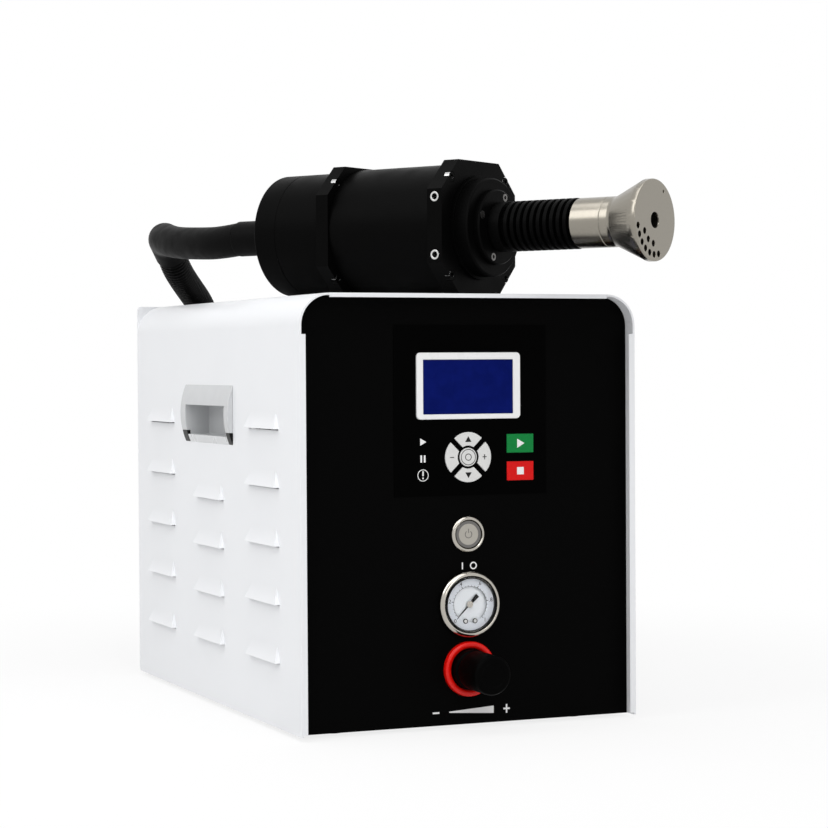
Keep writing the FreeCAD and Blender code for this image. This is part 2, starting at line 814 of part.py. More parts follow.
def key_pieces(grow, y):
    """All seven keys, or the windows that they move in when grown by the key's gap."""
    arrows = ("key_plus", "key_up", "key_minus", "key_down")
    pieces = {name: pad_key(quarter, grow, y) for quarter, name in enumerate(arrows)}
    pieces["key_menu"] = rod("round_shape", mm.menu_radius + grow, y[1] - y[0], mm.pad_x, y[1], pad_z,
                             TOWARDS_FRONT)
    run_x = (mm.run_left, mm.run_right)
    pieces["key_run"] = key_square(run_x, (run_low, run_high), grow, y)
    pieces["key_stop"] = key_square(run_x, (stop_low, stop_high), grow, y)
    return pieces


def keys():
    front = panel_face - mm.overlay_sheet - mm.key_proud
    for name, key in key_pieces(0.0, (front, panel_back + mm.board_gap - mm.key_travel)).items():
        in_cabinet(key, name)


def front_panel():
    """Recessed plate with rounded top corners and an opening for each control."""
    edge = inner_x - mm.seam_gap
    top = mm.cabinet_height - mm.cover_sheet - mm.seam_gap
    plate = padded("front_plate", "XZ_Plane", -panel_back, mm.panel_sheet,
                   rectangle((-edge, edge), (0.0, top)))
    round_edges(plate, mm.cover_round - mm.cover_sheet - mm.seam_gap,
                lambda p, e: abs(p.z - float(top)) < 0.01 and abs(abs(p.x) - float(edge)) < 0.01)
    y = (panel_face - 1, panel_back + 1)
    holes = list(key_pieces(mm.key_gap, y).values())
    holes.append(block("window_hole", (mm.window_left, mm.window_right), y,
                       (window_low, window_high)))
    for z, radius in ((button_z, mm.button_barrel), (gauge_z, mm.gauge_case_radius),
                      (regulator_z, mm.bonnet_radius)):
        holes.append(rod("control_hole", radius + mm.seam_gap, mm.panel_sheet + 2, mm.controls_x, y[1], z,
                         TOWARDS_FRONT))
    in_cabinet(cut("panel", plate, holes), "front_panel")


def membrane_overlay():
    y = (panel_face - mm.overlay_sheet, panel_face)
    film = block("overlay_film", (mm.overlay_left, mm.overlay_right), y, (overlay_low, overlay_high))
    cuts = (y[0] - 1, y[1] + 1)
    holes = list(key_pieces(mm.key_gap, cuts).values())
    holes.append(block("bezel_hole", (mm.bezel_left - mm.seam_gap, mm.bezel_right + mm.seam_gap), cuts,
                       (bezel_low - mm.seam_gap, bezel_high + mm.seam_gap)))
    in_cabinet(cut("overlay", film, holes), "membrane_overlay")


def display_bezel():
    front = panel_face - mm.overlay_sheet - mm.bezel_proud
    frame = padded("bezel_plate", "XZ_Plane", -panel_face, mm.bezel_proud + mm.overlay_sheet,
                   rectangle((mm.bezel_left, mm.bezel_right), (bezel_low, bezel_high)))
    middle = float(panel_face - (mm.bezel_proud + mm.overlay_sheet) / 2)
    round_edges(frame, mm.bezel_corner, lambda p, e: abs(p.y - middle) < 0.01)
    window = block("bezel_window", (mm.window_left, mm.window_right), (front - 1, panel_face + 1),
                   (window_low, window_high))
    in_cabinet(cut("bezel", frame, [window]), "display_bezel")


def display_module():
    front = panel_face - mm.overlay_sheet - mm.bezel_proud + mm.window_sunk
    lens = block("display_lens", (mm.window_left + mm.seam_gap, mm.window_right - mm.seam_gap),
                 (front, panel_back + mm.board_gap),
                 (window_low + mm.seam_gap, window_high - mm.seam_gap))
    in_cabinet(lens, "display_module")


def control_board():
    """Board behind the overlay on four posts that stand against the panel."""
    y = (panel_back + mm.board_gap, panel_back + mm.board_gap + mm.board_sheet)
    board = block("board", (mm.overlay_left, mm.overlay_right), y, (overlay_low, overlay_high))
    posts = []
    for x in (mm.overlay_left + mm.board_post_inset, mm.overlay_right - mm.board_post_inset):
        for z in (overlay_low + mm.board_post_inset, overlay_high - mm.board_post_inset):
            posts.append(rod("board_post", mm.board_post_radius, mm.board_gap, x, y[0], z, TOWARDS_FRONT))
    in_cabinet(fuse("control", [board] + posts), "control_board")


def power_button():
    """Metal push button: a bevelled ring on a barrel, with its cap sliding in the bore."""
    ring = turned("button_body", [
        (0.0, -mm.button_depth), (mm.button_barrel, -mm.button_depth), (mm.button_barrel, 0.0),
        (mm.button_ring_radius, 0.0), (mm.button_ring_radius, mm.button_ring_proud - 1.2),
        (mm.button_ring_radius - 1.2, mm.button_ring_proud), (mm.button_bore + 0.6, mm.button_ring_proud),
        (mm.button_bore, mm.button_ring_proud - 0.6), (mm.button_bore, -mm.button_well),
        (0.0, -mm.button_well)])
    keep(on_panel(ring, mm.controls_x, button_z), "power_button_body")
    cap = turned("button_cap", [
        (0.0, mm.button_cap_proud - mm.button_cap_length),
        (mm.button_cap_radius, mm.button_cap_proud - mm.button_cap_length),
        (mm.button_cap_radius, mm.button_cap_proud - 0.4),
        (mm.button_cap_radius - 0.4, mm.button_cap_proud),
        (0.0, mm.button_cap_proud)])
    keep(on_panel(cap, mm.controls_x, button_z), "power_button_cap")


def pressure_gauge():
    """Bourdon gauge: steel case and ring, dial with the needle's pin, needle and lens."""
    seat = mm.gauge_lens_height
    case = turned("gauge_shell", [
        (0.0, -mm.gauge_case_depth), (mm.gauge_case_radius, -mm.gauge_case_depth),
        (mm.gauge_case_radius, 0.0),
        (mm.gauge_ring_radius, 0.0), (mm.gauge_ring_radius, mm.gauge_ring_proud - 2),
        (mm.gauge_ring_radius - 1.4, mm.gauge_ring_proud - 0.4),
        (mm.gauge_ring_radius - 2.4, mm.gauge_ring_proud),
        (mm.gauge_lens_radius + 0.6, mm.gauge_ring_proud - 0.3),
        (mm.gauge_lens_radius + 0.1, mm.gauge_ring_proud - 1), (mm.gauge_lens_radius + 0.1, seat),
        (mm.gauge_dial_radius + 0.1, seat), (mm.gauge_dial_radius + 0.1, mm.gauge_dial_height),
        (0.0, mm.gauge_dial_height)])
    keep(on_panel(case, mm.controls_x, gauge_z), "gauge_case")
    dial_top = mm.gauge_dial_height + mm.gauge_dial_sheet
    dial = turned("dial_plate", [
        (0.0, mm.gauge_dial_height), (mm.gauge_dial_radius, mm.gauge_dial_height),
        (mm.gauge_dial_radius, dial_top), (mm.gauge_pin_radius, dial_top),
        (mm.gauge_pin_radius, dial_top + 1.8), (0.0, dial_top + 1.8)])
    keep(on_panel(dial, mm.controls_x, gauge_z), "gauge_dial")
    lens = turned("lens_disc", [(0.0, seat), (mm.gauge_lens_radius, seat),
                                (mm.gauge_lens_radius, seat + mm.gauge_lens_sheet),
                                (0.0, seat + mm.gauge_lens_sheet)])
    keep(on_panel(lens, mm.controls_x, gauge_z), "gauge_lens")
    low = dial_top + 0.5
    pointer = padded("pointer", "XY_Plane", low, 0.4, [
        (-mm.gauge_needle_tail, -1.3), (0.0, -0.9), (mm.gauge_needle_reach, -0.25),
        (mm.gauge_needle_reach, 0.25), (0.0, 0.9), (-mm.gauge_needle_tail, 1.3)])
    hub = rod("needle_hub", 2.0, 0.9, 0.0, 0.0, low)
    bore = rod("needle_bore", mm.gauge_pin_radius + 0.05, 4.0, 0.0, 0.0, low - 1)
    needle = cut("needle", fuse("needle_solid", [pointer, hub]), [bore])
    facing = TOWARDS_FRONT.multiply(Rotation(Vector(0, 0, 1), 225))
    put(needle, mm.controls_x, panel_face, mm.foot_height + gauge_z, facing)
    keep(needle, "gauge_needle")


def pressure_regulator():
    """Diaphragm regulator behind the panel, its red panel nut, spindle and pull-to-turn knob."""
    block_half = mm.regulator_block / 2
    spindle_hole = mm.spindle_radius + mm.spindle_clearance
    bonnet = turned("bonnet", [
        (spindle_hole, -14.0), (mm.bonnet_radius, -14.0), (mm.bonnet_radius, mm.bonnet_proud - 1.5),
        (mm.bonnet_radius - 1.5, mm.bonnet_proud), (spindle_hole, mm.bonnet_proud)])
    body_block = padded("regulator_casting", "XY_Plane", -mm.regulator_depth, mm.regulator_depth - 14,
                        rectangle((-block_half, block_half), (-block_half, block_half)))
    round_edges(body_block, 5.0, lambda p, e: abs(abs(p.x) - float(block_half)) < 0.01
                and abs(abs(p.y) - float(block_half)) < 0.01)
    bowl = rod("regulator_bowl", block_half - 4, 10.0, 0.0, 0.0, -mm.regulator_depth - 10)
    regulator = fuse("regulator", [bonnet, body_block, bowl])
    keep(on_panel(regulator, mm.controls_x, regulator_z), "regulator_body")
    tall = mm.regulator_ring_proud
    ring = turned("panel_nut", [
        (mm.regulator_ring_inner, 0.0), (mm.regulator_ring_radius, 0.0),
        (mm.regulator_ring_radius, tall - 2), (mm.regulator_ring_radius - 0.7, tall - 0.6),
        (mm.regulator_ring_radius - 2, tall), (mm.regulator_ring_inner + 1.6, tall),
        (mm.regulator_ring_inner + 0.4, tall - 0.8), (mm.regulator_ring_inner, tall - 2)])
    keep(on_panel(ring, mm.controls_x, regulator_z), "regulator_ring")
    spindle = rod("spindle", mm.spindle_radius, mm.knob_front + 8, mm.controls_x, panel_face + 12,
                  mm.foot_height + regulator_z, TOWARDS_FRONT)
    keep(spindle, "adjusting_screw")
    front = mm.knob_front
    knob_bore = mm.spindle_radius + mm.spindle_clearance
    knob = turned("knob", [
        (knob_bore, mm.knob_start + 3), (mm.knob_radius - 4.5, mm.knob_start + 3),
        (mm.knob_radius - 2.2, mm.knob_start), (mm.knob_radius, mm.knob_start + 0.8),
        (mm.knob_radius, front - 2.2), (mm.knob_radius - 0.8, front - 0.7), (mm.knob_radius - 2.4, front),
        (mm.knob_radius - 5, front), (mm.knob_radius - 5.6, front - 0.6), (0.0, front - 0.6),
        (0.0, front - 3.0), (knob_bore, front - 3.0)])
    keep(on_panel(knob, mm.controls_x, regulator_z), "regulator_knob")


# Rear pieces and the generator's insides

def cooling_fan():
    """Axial fan behind the rear slots: frame with a motor cup on three arms, and its rotor."""
    half = mm.fan_square / 2
    front = cover_end - mm.fan_thick
    x, z = (mm.fan_x - half, mm.fan_x + half), (mm.fan_z - half, mm.fan_z + half)
    body = block("fan_body", x, (front, cover_end), z)
    bore = rod("fan_opening", mm.fan_bore, mm.fan_thick + 2, mm.fan_x, front - 1, mm.fan_z, TOWARDS_BACK)
    ring = cut("fan_ring", body, [bore])
    cup = rod("fan_cup", mm.fan_hub, mm.fan_motor_thick / 2, mm.fan_x,
              cover_end - mm.fan_motor_thick / 2, mm.fan_z, TOWARDS_BACK)
    pin = rod("fan_pin", mm.fan_spindle, mm.fan_thick - 6, mm.fan_x, front + 4, mm.fan_z, TOWARDS_BACK)
    arms = []
    for number in range(3):
        facing = Rotation(Vector(0, 1, 0), 120 * number + 30)
        arm = doc.addObject("Part::Box", "fan_arm")
        bind(arm, "Length", mm.fan_bore + 1)
        arm.Width, arm.Height = 2.5, 4.0
        put(arm, mm.fan_x, cover_end - 2.5, mm.fan_z, facing)
        arms.append(arm)
    in_cabinet(fuse("fan_fixed", [ring, cup, pin] + arms), "fan_frame")
    hub_start = front + 3
    hub_length = mm.fan_thick - mm.fan_motor_thick - 3
    hub = rod("fan_hub_disc", mm.fan_hub, hub_length, mm.fan_x, hub_start, mm.fan_z, TOWARDS_BACK)
    blades = []
    reach = rod("blade_reach", mm.fan_blade_reach, mm.fan_thick, mm.fan_x, front, mm.fan_z, TOWARDS_BACK)
    for number in range(fan_blade_count):
        around = Rotation(Vector(0, 1, 0), 360.0 / fan_blade_count * number)
        pitched = around.multiply(Rotation(Vector(1, 0, 0), 38))
        blade = doc.addObject("Part::Box", "fan_blade")
        bind(blade, "Length", mm.fan_blade_reach + 2)
        blade.Width, blade.Height = 13.0, 1.4
        centre = pitched.multVec(Vector(0, -6.5, -0.7))
        put(blade, mm.fan_x + centre.x, hub_start + hub_length / 2 + centre.y, mm.fan_z + centre.z, pitched)
        blades.append(blade)
    solid = fuse("fan_vanes", [hub, common("fan_blades", [reach, fuse("blade_set", blades)])])
    hole = rod("fan_hub_hole", mm.fan_spindle + 0.05, mm.fan_thick, mm.fan_x, front - 1, mm.fan_z,
               TOWARDS_BACK)
    in_cabinet(cut("fan_turning", solid, [hole]), "fan_rotor")


def mains_inlet():
    """Three-pin inlet: flange outside the rear panel, moulded body inside, recess with pins."""
    flange = block("inlet_flange", (mm.inlet_x - mm.inlet_flange_width / 2,
                                    mm.inlet_x + mm.inlet_flange_width / 2),
                   (back_y, back_y + 3), (mm.inlet_z - mm.inlet_flange_tall / 2,
                                          mm.inlet_z + mm.inlet_flange_tall / 2))
    body = block("inlet_body", (mm.inlet_x - mm.inlet_body_width / 2, mm.inlet_x + mm.inlet_body_width / 2),
                 (back_y - mm.inlet_depth, back_y + 1),
                 (mm.inlet_z - mm.inlet_body_tall / 2, mm.inlet_z + mm.inlet_body_tall / 2))
    floor = back_y + 3 - mm.inlet_recess_depth
    recess = block("inlet_recess", (mm.inlet_x - mm.inlet_recess_width / 2,
                                    mm.inlet_x + mm.inlet_recess_width / 2), (floor, back_y + 4),
                   (mm.inlet_z - mm.inlet_recess_tall / 2, mm.inlet_z + mm.inlet_recess_tall / 2))
    shell = cut("inlet_shell", fuse("inlet_solid", [flange, body]), [recess])
    pins = []
    for x, z in ((-7.0, -2.0), (7.0, -2.0), (0.0, 2.5)):
        pins.append(block("inlet_pin", (mm.inlet_x + x - 1, mm.inlet_x + x + 1),
                          (floor - 2, floor + mm.inlet_pin_length),
                          (mm.inlet_z + z - 2, mm.inlet_z + z + 2)))
    in_cabinet(fuse("inlet", [shell] + pins), "mains_inlet")


def air_fitting():
    """Push-in bulkhead fitting for an 8 mm air hose."""
    bore_end = mm.fitting_proud - mm.fitting_bore_depth
    fitting = turned("air_push_in", [
        (0.0, -16.0), (mm.fitting_barrel, -16.0), (mm.fitting_barrel, 0.0), (mm.fitting_radius + 1.5, 0.0),
        (mm.fitting_radius + 1.5, 4.0), (mm.fitting_radius, 5.0), (mm.fitting_radius, mm.fitting_proud - 1),
        (mm.fitting_radius - 1, mm.fitting_proud), (mm.fitting_bore, mm.fitting_proud),
        (mm.fitting_bore, bore_end), (0.0, bore_end)])
    keep(on_back(fitting, mm.fitting_x, mm.fitting_z), "air_fitting")


def hose_socket():
    socket = turned("hose_outlet", [
        (0.0, -14.0), (mm.socket_barrel, -14.0), (mm.socket_barrel, 0.0), (mm.socket_radius, 0.0),
        (mm.socket_radius, 6.0), (mm.socket_radius - 1.5, 7.0),
        (mm.socket_radius - 1.5, mm.socket_proud - 1),
        (mm.socket_radius - 2.5, mm.socket_proud), (0.0, mm.socket_proud)])
    keep(on_back(socket, 0.0, mm.socket_z), "hose_socket")


def transformer():
    """Laminated core with one window, standing on the tray, and a winding on each limb."""
    floor, limb = mm.cover_sheet, mm.transformer_limb
    right = mm.transformer_left + mm.transformer_width
    rear = mm.transformer_front + mm.transformer_depth
    core = block("core", (mm.transformer_left, right), (mm.transformer_front, rear),
                 (floor, floor + mm.transformer_tall))
    window = block("core_window", (mm.transformer_left + limb, right - limb),
                   (mm.transformer_front - 1, rear + 1), (floor + limb, floor + mm.transformer_tall - limb))
    pieces = [cut("core_frame", core, [window])]
    middle_y = (mm.transformer_front + rear) / 2
    for x in (mm.transformer_left + limb / 2, right - limb / 2):
        pieces.append(rod("winding", mm.winding_radius, mm.transformer_tall - limb * 2 - 4, x, middle_y,
                          floor + limb + 2))
    in_cabinet(fuse("transformer", pieces), "high_voltage_transformer")


def inverter():
    """Power board on four posts over the tray, with a finned heat sink standing on it."""
    floor = mm.cover_sheet
    low = floor + mm.inverter_rise
    right = mm.inverter_left + mm.inverter_width
    rear = mm.inverter_front + mm.inverter_length
    inset = mm.inverter_post_inset
    pieces = [block("power_board", (mm.inverter_left, right), (mm.inverter_front, rear),
                    (low, low + mm.board_sheet))]
    for x in (mm.inverter_left + inset, right - inset):
        for y in (mm.inverter_front + inset, rear - inset):
            pieces.append(rod("power_post", mm.board_post_radius, mm.inverter_rise, x, y, floor))
    base = low + mm.board_sheet
    sink_left, sink_right = mm.inverter_left + mm.sink_inset, right - mm.sink_inset
    sink_y = (mm.sink_front, mm.sink_front + mm.sink_length)
    pieces.append(block("sink_base", (sink_left, sink_right), sink_y, (base, base + mm.sink_base)))
    pitch = (sink_right - sink_left - mm.sink_fin) / (sink_fin_count - 1)
    for number in range(sink_fin_count):
        start = sink_left + pitch * number
        pieces.append(block("sink_fin", (start, start + mm.sink_fin), sink_y,
                            (base + mm.sink_base - 1, base + mm.sink_tall)))
    in_cabinet(fuse("inverter", pieces), "inverter_board")


# Torch

def flange_plate(name, start, thick):
    """Square plate with cut corners."""
    side, cut_in = flange_half, flange_half - mm.flange_chamfer
    return padded(name, "XY_Plane", start, thick, [
        (side, -cut_in), (side, cut_in), (cut_in, side), (-cut_in, side), (-side, cut_in),
        (-side, -cut_in), (-cut_in, -side), (cut_in, -side)])


def corner_places():
    for x_side in (LEFT, RIGHT):
        for y_side in (LEFT, RIGHT):
            yield x_side * mm.corner_screw_place, y_side * mm.corner_screw_place


def corner_holes(start, front):
    """Screw holes whose head recesses break out through the plate's cut corners."""
    holes = []
    for x, y in corner_places():
        holes.append(rod("corner_hole", mm.corner_screw_shank, front - start + 2, x, y, start - 1))
        holes.append(rod("corner_recess", mm.corner_screw_head + mm.screw_gap,
                         mm.corner_screw_tall + 1, x, y, front - mm.corner_screw_tall))
    return holes


def torch_flanges():
    front = flange_plate("front_plate_blank", main_tube_start, mm.front_flange_thick)
    tools = corner_holes(main_tube_start, Size(0.0, "0"))
    tools.append(rod("front_bore", mm.spigot_radius, mm.front_flange_thick + 2, 0.0, 0.0,
                     main_tube_start - 1))
    for side in (LEFT, RIGHT):
        tools.append(rod("insert_hole", mm.insert_radius, mm.insert_length + 1, -flange_half - 1,
                         side * mm.insert_spread / 2, main_tube_start / 2,
                         Rotation(Vector(0, 1, 0), 90)))
    in_torch(cut("front_flange", front, tools), "torch_front_flange")
    rear = flange_plate("rear_plate_blank", rear_flange_back, mm.rear_flange_thick)
    tools = corner_holes(rear_flange_back, rear_flange_front)
    seat = rear_flange_front - mm.bearing_width
    tools.append(rod("rear_seat", mm.bearing_outer, mm.bearing_width + 1, 0.0, 0.0, seat))
    tools.append(rod("rear_bore", mm.shaft_radius + 2, mm.rear_flange_thick + 1, 0.0, 0.0,
                     rear_flange_back - 1))
    in_torch(cut("rear_flange", rear, tools), "torch_rear_flange")


def torch_tubes():
    for name, radius, low, high in (
            ("torch_main_housing", mm.main_tube_radius, rear_flange_front, main_tube_start),
            ("torch_rear_housing", mm.rear_tube_radius, rear_cap_front, rear_flange_back)):
        tube = turned(f"{name}_tube", [(radius - mm.tube_wall, low), (radius, low), (radius, high),
                                       (radius - mm.tube_wall, high)])
        in_torch(tube, name)
    spigot = mm.rear_tube_radius - mm.tube_wall - mm.seam_gap
    cap = turned("rear_cap_disc", [
        (mm.gland_stem, rear_cap_back), (mm.rear_tube_radius - 1, rear_cap_back),
        (mm.rear_tube_radius, rear_cap_back + 1), (mm.rear_tube_radius, rear_cap_front),
        (spigot, rear_cap_front), (spigot, rear_cap_front + mm.cap_spigot),
        (mm.gland_stem, rear_cap_front + mm.cap_spigot)])
    in_torch(cap, "torch_rear_cap")


def bearing_housing():
    """Turned housing that centres the front bearing, and the cover screwed over it."""
    wall = mm.shaft_radius + 2
    seat_end = -mm.bearing_width - 2
    housing = turned("bearing_cup", [
        (mm.bearing_outer, seat_end), (mm.spigot_radius, seat_end), (mm.spigot_radius, 0.0),
        (mm.housing_step_radius, 0.0), (mm.housing_step_radius, mm.housing_step),
        (mm.housing_radius, mm.housing_step), (mm.housing_radius, mm.housing_length - 1),
        (mm.housing_radius - 1, mm.housing_length), (wall, mm.housing_length), (wall, 0.0),
        (mm.bearing_outer, 0.0)])
    holes = [rod("housing_thread", mm.cover_screw_shank, 6.0, x, y, mm.housing_length - 5)
             for x, y in cover_screw_places()]
    in_torch(cut("housing", housing, holes), "bearing_housing")
    bore = mm.shaft_radius + 0.6
    disc = turned("cover_disc", [
        (bore, mm.housing_length), (mm.cover_radius, mm.housing_length), (mm.cover_radius, cover_front - 1),
        (mm.cover_radius - 1, cover_front), (bore, cover_front)])
    holes = []
    for x, y in cover_screw_places():
        holes.append(rod("cover_hole", mm.cover_screw_shank, mm.cover_thick + 2, x, y,
                         mm.housing_length - 1))
        holes.append(rod("cover_recess", mm.cover_screw_head + mm.screw_gap, mm.cover_screw_tall + 1, x, y,
                         cover_front - mm.cover_screw_tall))
    in_torch(cut("bearing_lid", disc, holes), "bearing_cover")
    rings = []
    for name, low in (("front_ring", -mm.bearing_width), ("rear_ring",
                                                       rear_flange_front - mm.bearing_width)):
        inner = mm.shaft_radius + mm.bearing_clearance
        high = low + mm.bearing_width
        middle = (mm.bearing_outer + inner) / 2
        rings.append(turned(name, [
            (inner, low), (middle - 1, low), (middle - 1, low + 0.5), (middle + 1, low + 0.5),
            (middle + 1, low), (mm.bearing_outer, low), (mm.bearing_outer, high), (middle + 1, high),
            (middle + 1, high - 0.5), (middle - 1, high - 0.5), (middle - 1, high),
            (inner, high)]))
    in_torch(group("bearings", rings), "shaft_bearings")


def cover_screw_places():
    for number in range(4):
        angle = math.radians(70 + 90 * number)
        yield mm.cover_screw_circle * math.cos(angle), mm.cover_screw_circle * math.sin(angle)


def socket_screw(name, x, y, top, head, tall, shank, length):
    """Cap screw along local Z with a hexagon socket in its head."""
    head_rod = rod(f"{name}_head", head, tall, x, y, top - tall)
    shank_rod = rod(f"{name}_shank", shank, length, x, y, top - tall - length)
    socket = doc.addObject("Part::Prism", f"{name}_socket")
    socket.Polygon = 6
    bind(socket, "Circumradius", head * 0.52)
    bind(socket, "Height", tall)
    put(socket, x, y, top - tall * 0.6)
    return cut(name, fuse(f"{name}_solid", [head_rod, shank_rod]), [socket])


def torch_screws():
    screws = []
    for top, thick in ((Size(0.0, "0"), mm.front_flange_thick), (rear_flange_front, mm.rear_flange_thick)):
        for x, y in corner_places():
            screws.append(socket_screw("corner_screw", x, y, top, mm.corner_screw_head,
                                       mm.corner_screw_tall, mm.corner_screw_shank,
                                       thick - mm.corner_screw_tall - 0.5))
    for x, y in cover_screw_places():
        screws.append(socket_screw("cover_screw", x, y, cover_front, mm.cover_screw_head,
                                   mm.cover_screw_tall, mm.cover_screw_shank, 5.5))
    in_torch(group("screws", screws), "torch_screws")


def thread_inserts():
    inserts = []
    for side in (LEFT, RIGHT):
        y = side * mm.insert_spread / 2
        facing = Rotation(Vector(0, 1, 0), 90)
        sleeve = rod("insert_sleeve", mm.insert_radius, mm.insert_length, -flange_half, y,
                     main_tube_start / 2, facing)
        bore = rod("insert_thread", mm.insert_bore, mm.insert_length + 2, -flange_half - 1, y,
                   main_tube_start / 2, facing)
        inserts.append(cut("insert", sleeve, [bore]))
    in_torch(group("inserts", inserts), "thread_inserts")


def rotating_shaft():
    shaft_back = rear_flange_front - mm.bearing_width - 2
    tip = neck_start + mm.neck_collar + 3
    shaft = turned("shaft", [
        (mm.shaft_bore, shaft_back), (mm.shaft_radius, shaft_back), (mm.shaft_radius, neck_start),
        (mm.shaft_spigot, neck_start), (mm.shaft_spigot, tip), (mm.shaft_bore, tip)])
    in_torch(shaft, "hollow_shaft")
    low = main_tube_start - mm.motor_start - mm.motor_length
    high = low + mm.motor_length
    outer = mm.main_tube_radius - mm.tube_wall - mm.stator_outer_gap
    in_torch(turned("stator", [(mm.stator_inner, low), (outer, low), (outer, high),
                               (mm.stator_inner, high)]), "motor_stator")
    in_torch(turned("rotor", [(mm.shaft_radius, low + 2), (mm.rotor_outer, low + 2),
                              (mm.rotor_outer, high - 2), (mm.shaft_radius, high - 2)]), "motor_rotor")


def finned_neck():
    """Black neck turned with a row of cooling fins, joining the shaft to the nozzle."""
    tip = neck_start + mm.neck_collar + 3
    collar_end = neck_start + mm.neck_collar
    profile = [(mm.shaft_spigot, neck_start), (mm.neck_radius - 0.8, neck_start),
               (mm.neck_radius, neck_start + 0.8), (mm.neck_radius, collar_end), (mm.neck_root, collar_end)]
    for number in range(fin_count):
        low = mm.fins_start + mm.fin_pitch * number
        profile += [(mm.neck_root, low), (mm.neck_radius, low), (mm.neck_radius, low + mm.fin_thick),
                    (mm.neck_root, low + mm.fin_thick)]
    profile += [(mm.neck_root, neck_end), (mm.nozzle_bore, neck_end),
                (mm.nozzle_bore, neck_end + mm.nozzle_joint),
                (mm.shaft_bore, neck_end + mm.nozzle_joint), (mm.shaft_bore, tip), (mm.shaft_spigot, tip)]
    in_torch(turned("neck", profile), "finned_neck")


def nozzle():
    """Steel tube, and the flared head with its jet hole and drilled balance holes."""
    tube = turned("steel_tube", [
        (mm.nozzle_bore, neck_end), (mm.nozzle_radius, neck_end), (mm.nozzle_radius, head_start - 0.4),
        (mm.nozzle_radius - 0.4, head_start), (mm.nozzle_bore, head_start)])
    in_torch(tube, "nozzle_tube")
    jet_start = head_front - mm.jet_length
    head = turned("head_turning", [
        (mm.shaft_bore, head_start - mm.nozzle_joint), (mm.nozzle_bore, head_start - mm.nozzle_joint),
        (mm.nozzle_bore, head_start), (mm.nozzle_radius, head_start), (mm.nozzle_radius, head_cone),
        (mm.head_radius, head_wide), (mm.head_radius, head_front - 0.6), (mm.head_radius - 0.6, head_front),
        (mm.jet_radius + 0.5, head_front), (mm.jet_radius, head_front - 0.5), (mm.jet_radius, jet_start),
        (mm.shaft_bore, jet_start - 4)])
    waist, level = float(mm.nozzle_radius), float(head_cone)
    round_edges(head, 9.0, lambda p, e: abs(p.z - level) < 0.01
                and abs(math.hypot(p.x, p.y) - waist) < 0.01 and e.Closed)
    holes = []
    start = head_front - mm.balance_depth
    for circle, first, pitch, count in ((mm.balance_outer_circle, 191.0, 15.2, 7),
                                        (mm.balance_inner_circle, 209.0, 26.5, 3)):
        for number in range(count):
            angle = math.radians(first + pitch * number)
            holes.append(rod("balance_hole", mm.balance_radius, mm.balance_depth + 1,
                             circle * math.cos(angle), circle * math.sin(angle), start))
    angle = math.radians(59)
    holes.append(rod("key_hole", 1.0, 4.0, mm.balance_outer_circle * math.cos(angle),
                     mm.balance_outer_circle * math.sin(angle), head_front - 3))
    in_torch(cut("head", head, holes), "nozzle_head")


def electrode():
    """Fixed rod down the hollow shaft, in its insulating holder in the rear housing."""
    radius = mm.rear_tube_radius - mm.tube_wall - mm.seam_gap
    high = rear_flange_back - 4
    low = high - mm.holder_thick
    body = turned("electrode_turning", [
        (0.0, low), (radius, low), (radius, high), (mm.electrode_radius + 4, high),
        (mm.electrode_radius, high + 3), (mm.electrode_radius, mm.electrode_reach - 5),
        (1.0, mm.electrode_reach), (0.0, mm.electrode_reach)])
    in_torch(body, "electrode")


def hose_gland():
    """Gland nut on the rear cap with its tapered strain-relief boot."""
    nut_end = rear_cap_back - mm.gland_nut
    gland = turned("gland", [
        (0.0, gland_end), (mm.sleeve_radius + 0.8, gland_end), (mm.gland_radius - 2, nut_end),
        (mm.gland_radius - 0.6, nut_end), (mm.gland_radius, nut_end + 1), (mm.gland_radius, rear_cap_back),
        (mm.gland_stem, rear_cap_back), (mm.gland_stem, rear_cap_front + mm.cap_spigot),
        (0.0, rear_cap_front + mm.cap_spigot)])
    in_torch(gland, "hose_gland")


# Hose

def torch_point(distance):
    """A point on the torch's axis, in the floor's frame."""
    turn = math.radians(float(mm.torch_turn))
    return Vector(float(mm.torch_x) + distance * math.sin(turn),
                  float(mm.torch_y) - distance * math.cos(turn),
                  float(mm.foot_height + mm.cabinet_height + flange_half))


def hose_path(points):
    """Straight runs joined by tangent arcs as large as the runs allow."""
    edges, radii = [], []
    start = points[0]
    for before, corner, after in zip(points, points[1:], points[2:]):
        towards, away = (before - corner).normalize(), (after - corner).normalize()
        half_turn = (math.pi - towards.getAngle(away)) / 2
        shorter = min(before.distanceToPoint(corner), corner.distanceToPoint(after))
        radius = 0.45 * shorter / math.tan(half_turn)
        first, last = corner + towards * 0.45 * shorter, corner + away * 0.45 * shorter
        middle = corner + (towards + away).normalize() * (radius / math.cos(half_turn) - radius)
        edges.append(Part.LineSegment(start, first).toShape())
        edges.append(Part.Arc(first, middle, last).toShape())
        radii.append(radius)
        start = last
    edges.append(Part.LineSegment(start, points[-1]).toShape())
    return Part.Wire(edges), radii


def hose_solid(label, points, radius):
    """A plain tube along a path, with its volume checked against its section and length."""
    path, radii = hose_path(points)
    section = Part.Wire(Part.Circle(points[0], points[1] - points[0], float(radius)).toShape())
    solid = path.makePipeShell([section], True, True)
    expected = math.pi * float(radius) ** 2 * path.Length
    print(label, "length", round(path.Length, 1), "tightest radius", round(min(radii), 1),
          "radii", [round(value) for value in radii], "volume share", round(solid.Volume / expected, 4))
    tube = doc.addObject("Part::Feature", f"{label}_tube")
    tube.Shape = solid
    keep(tube, label)


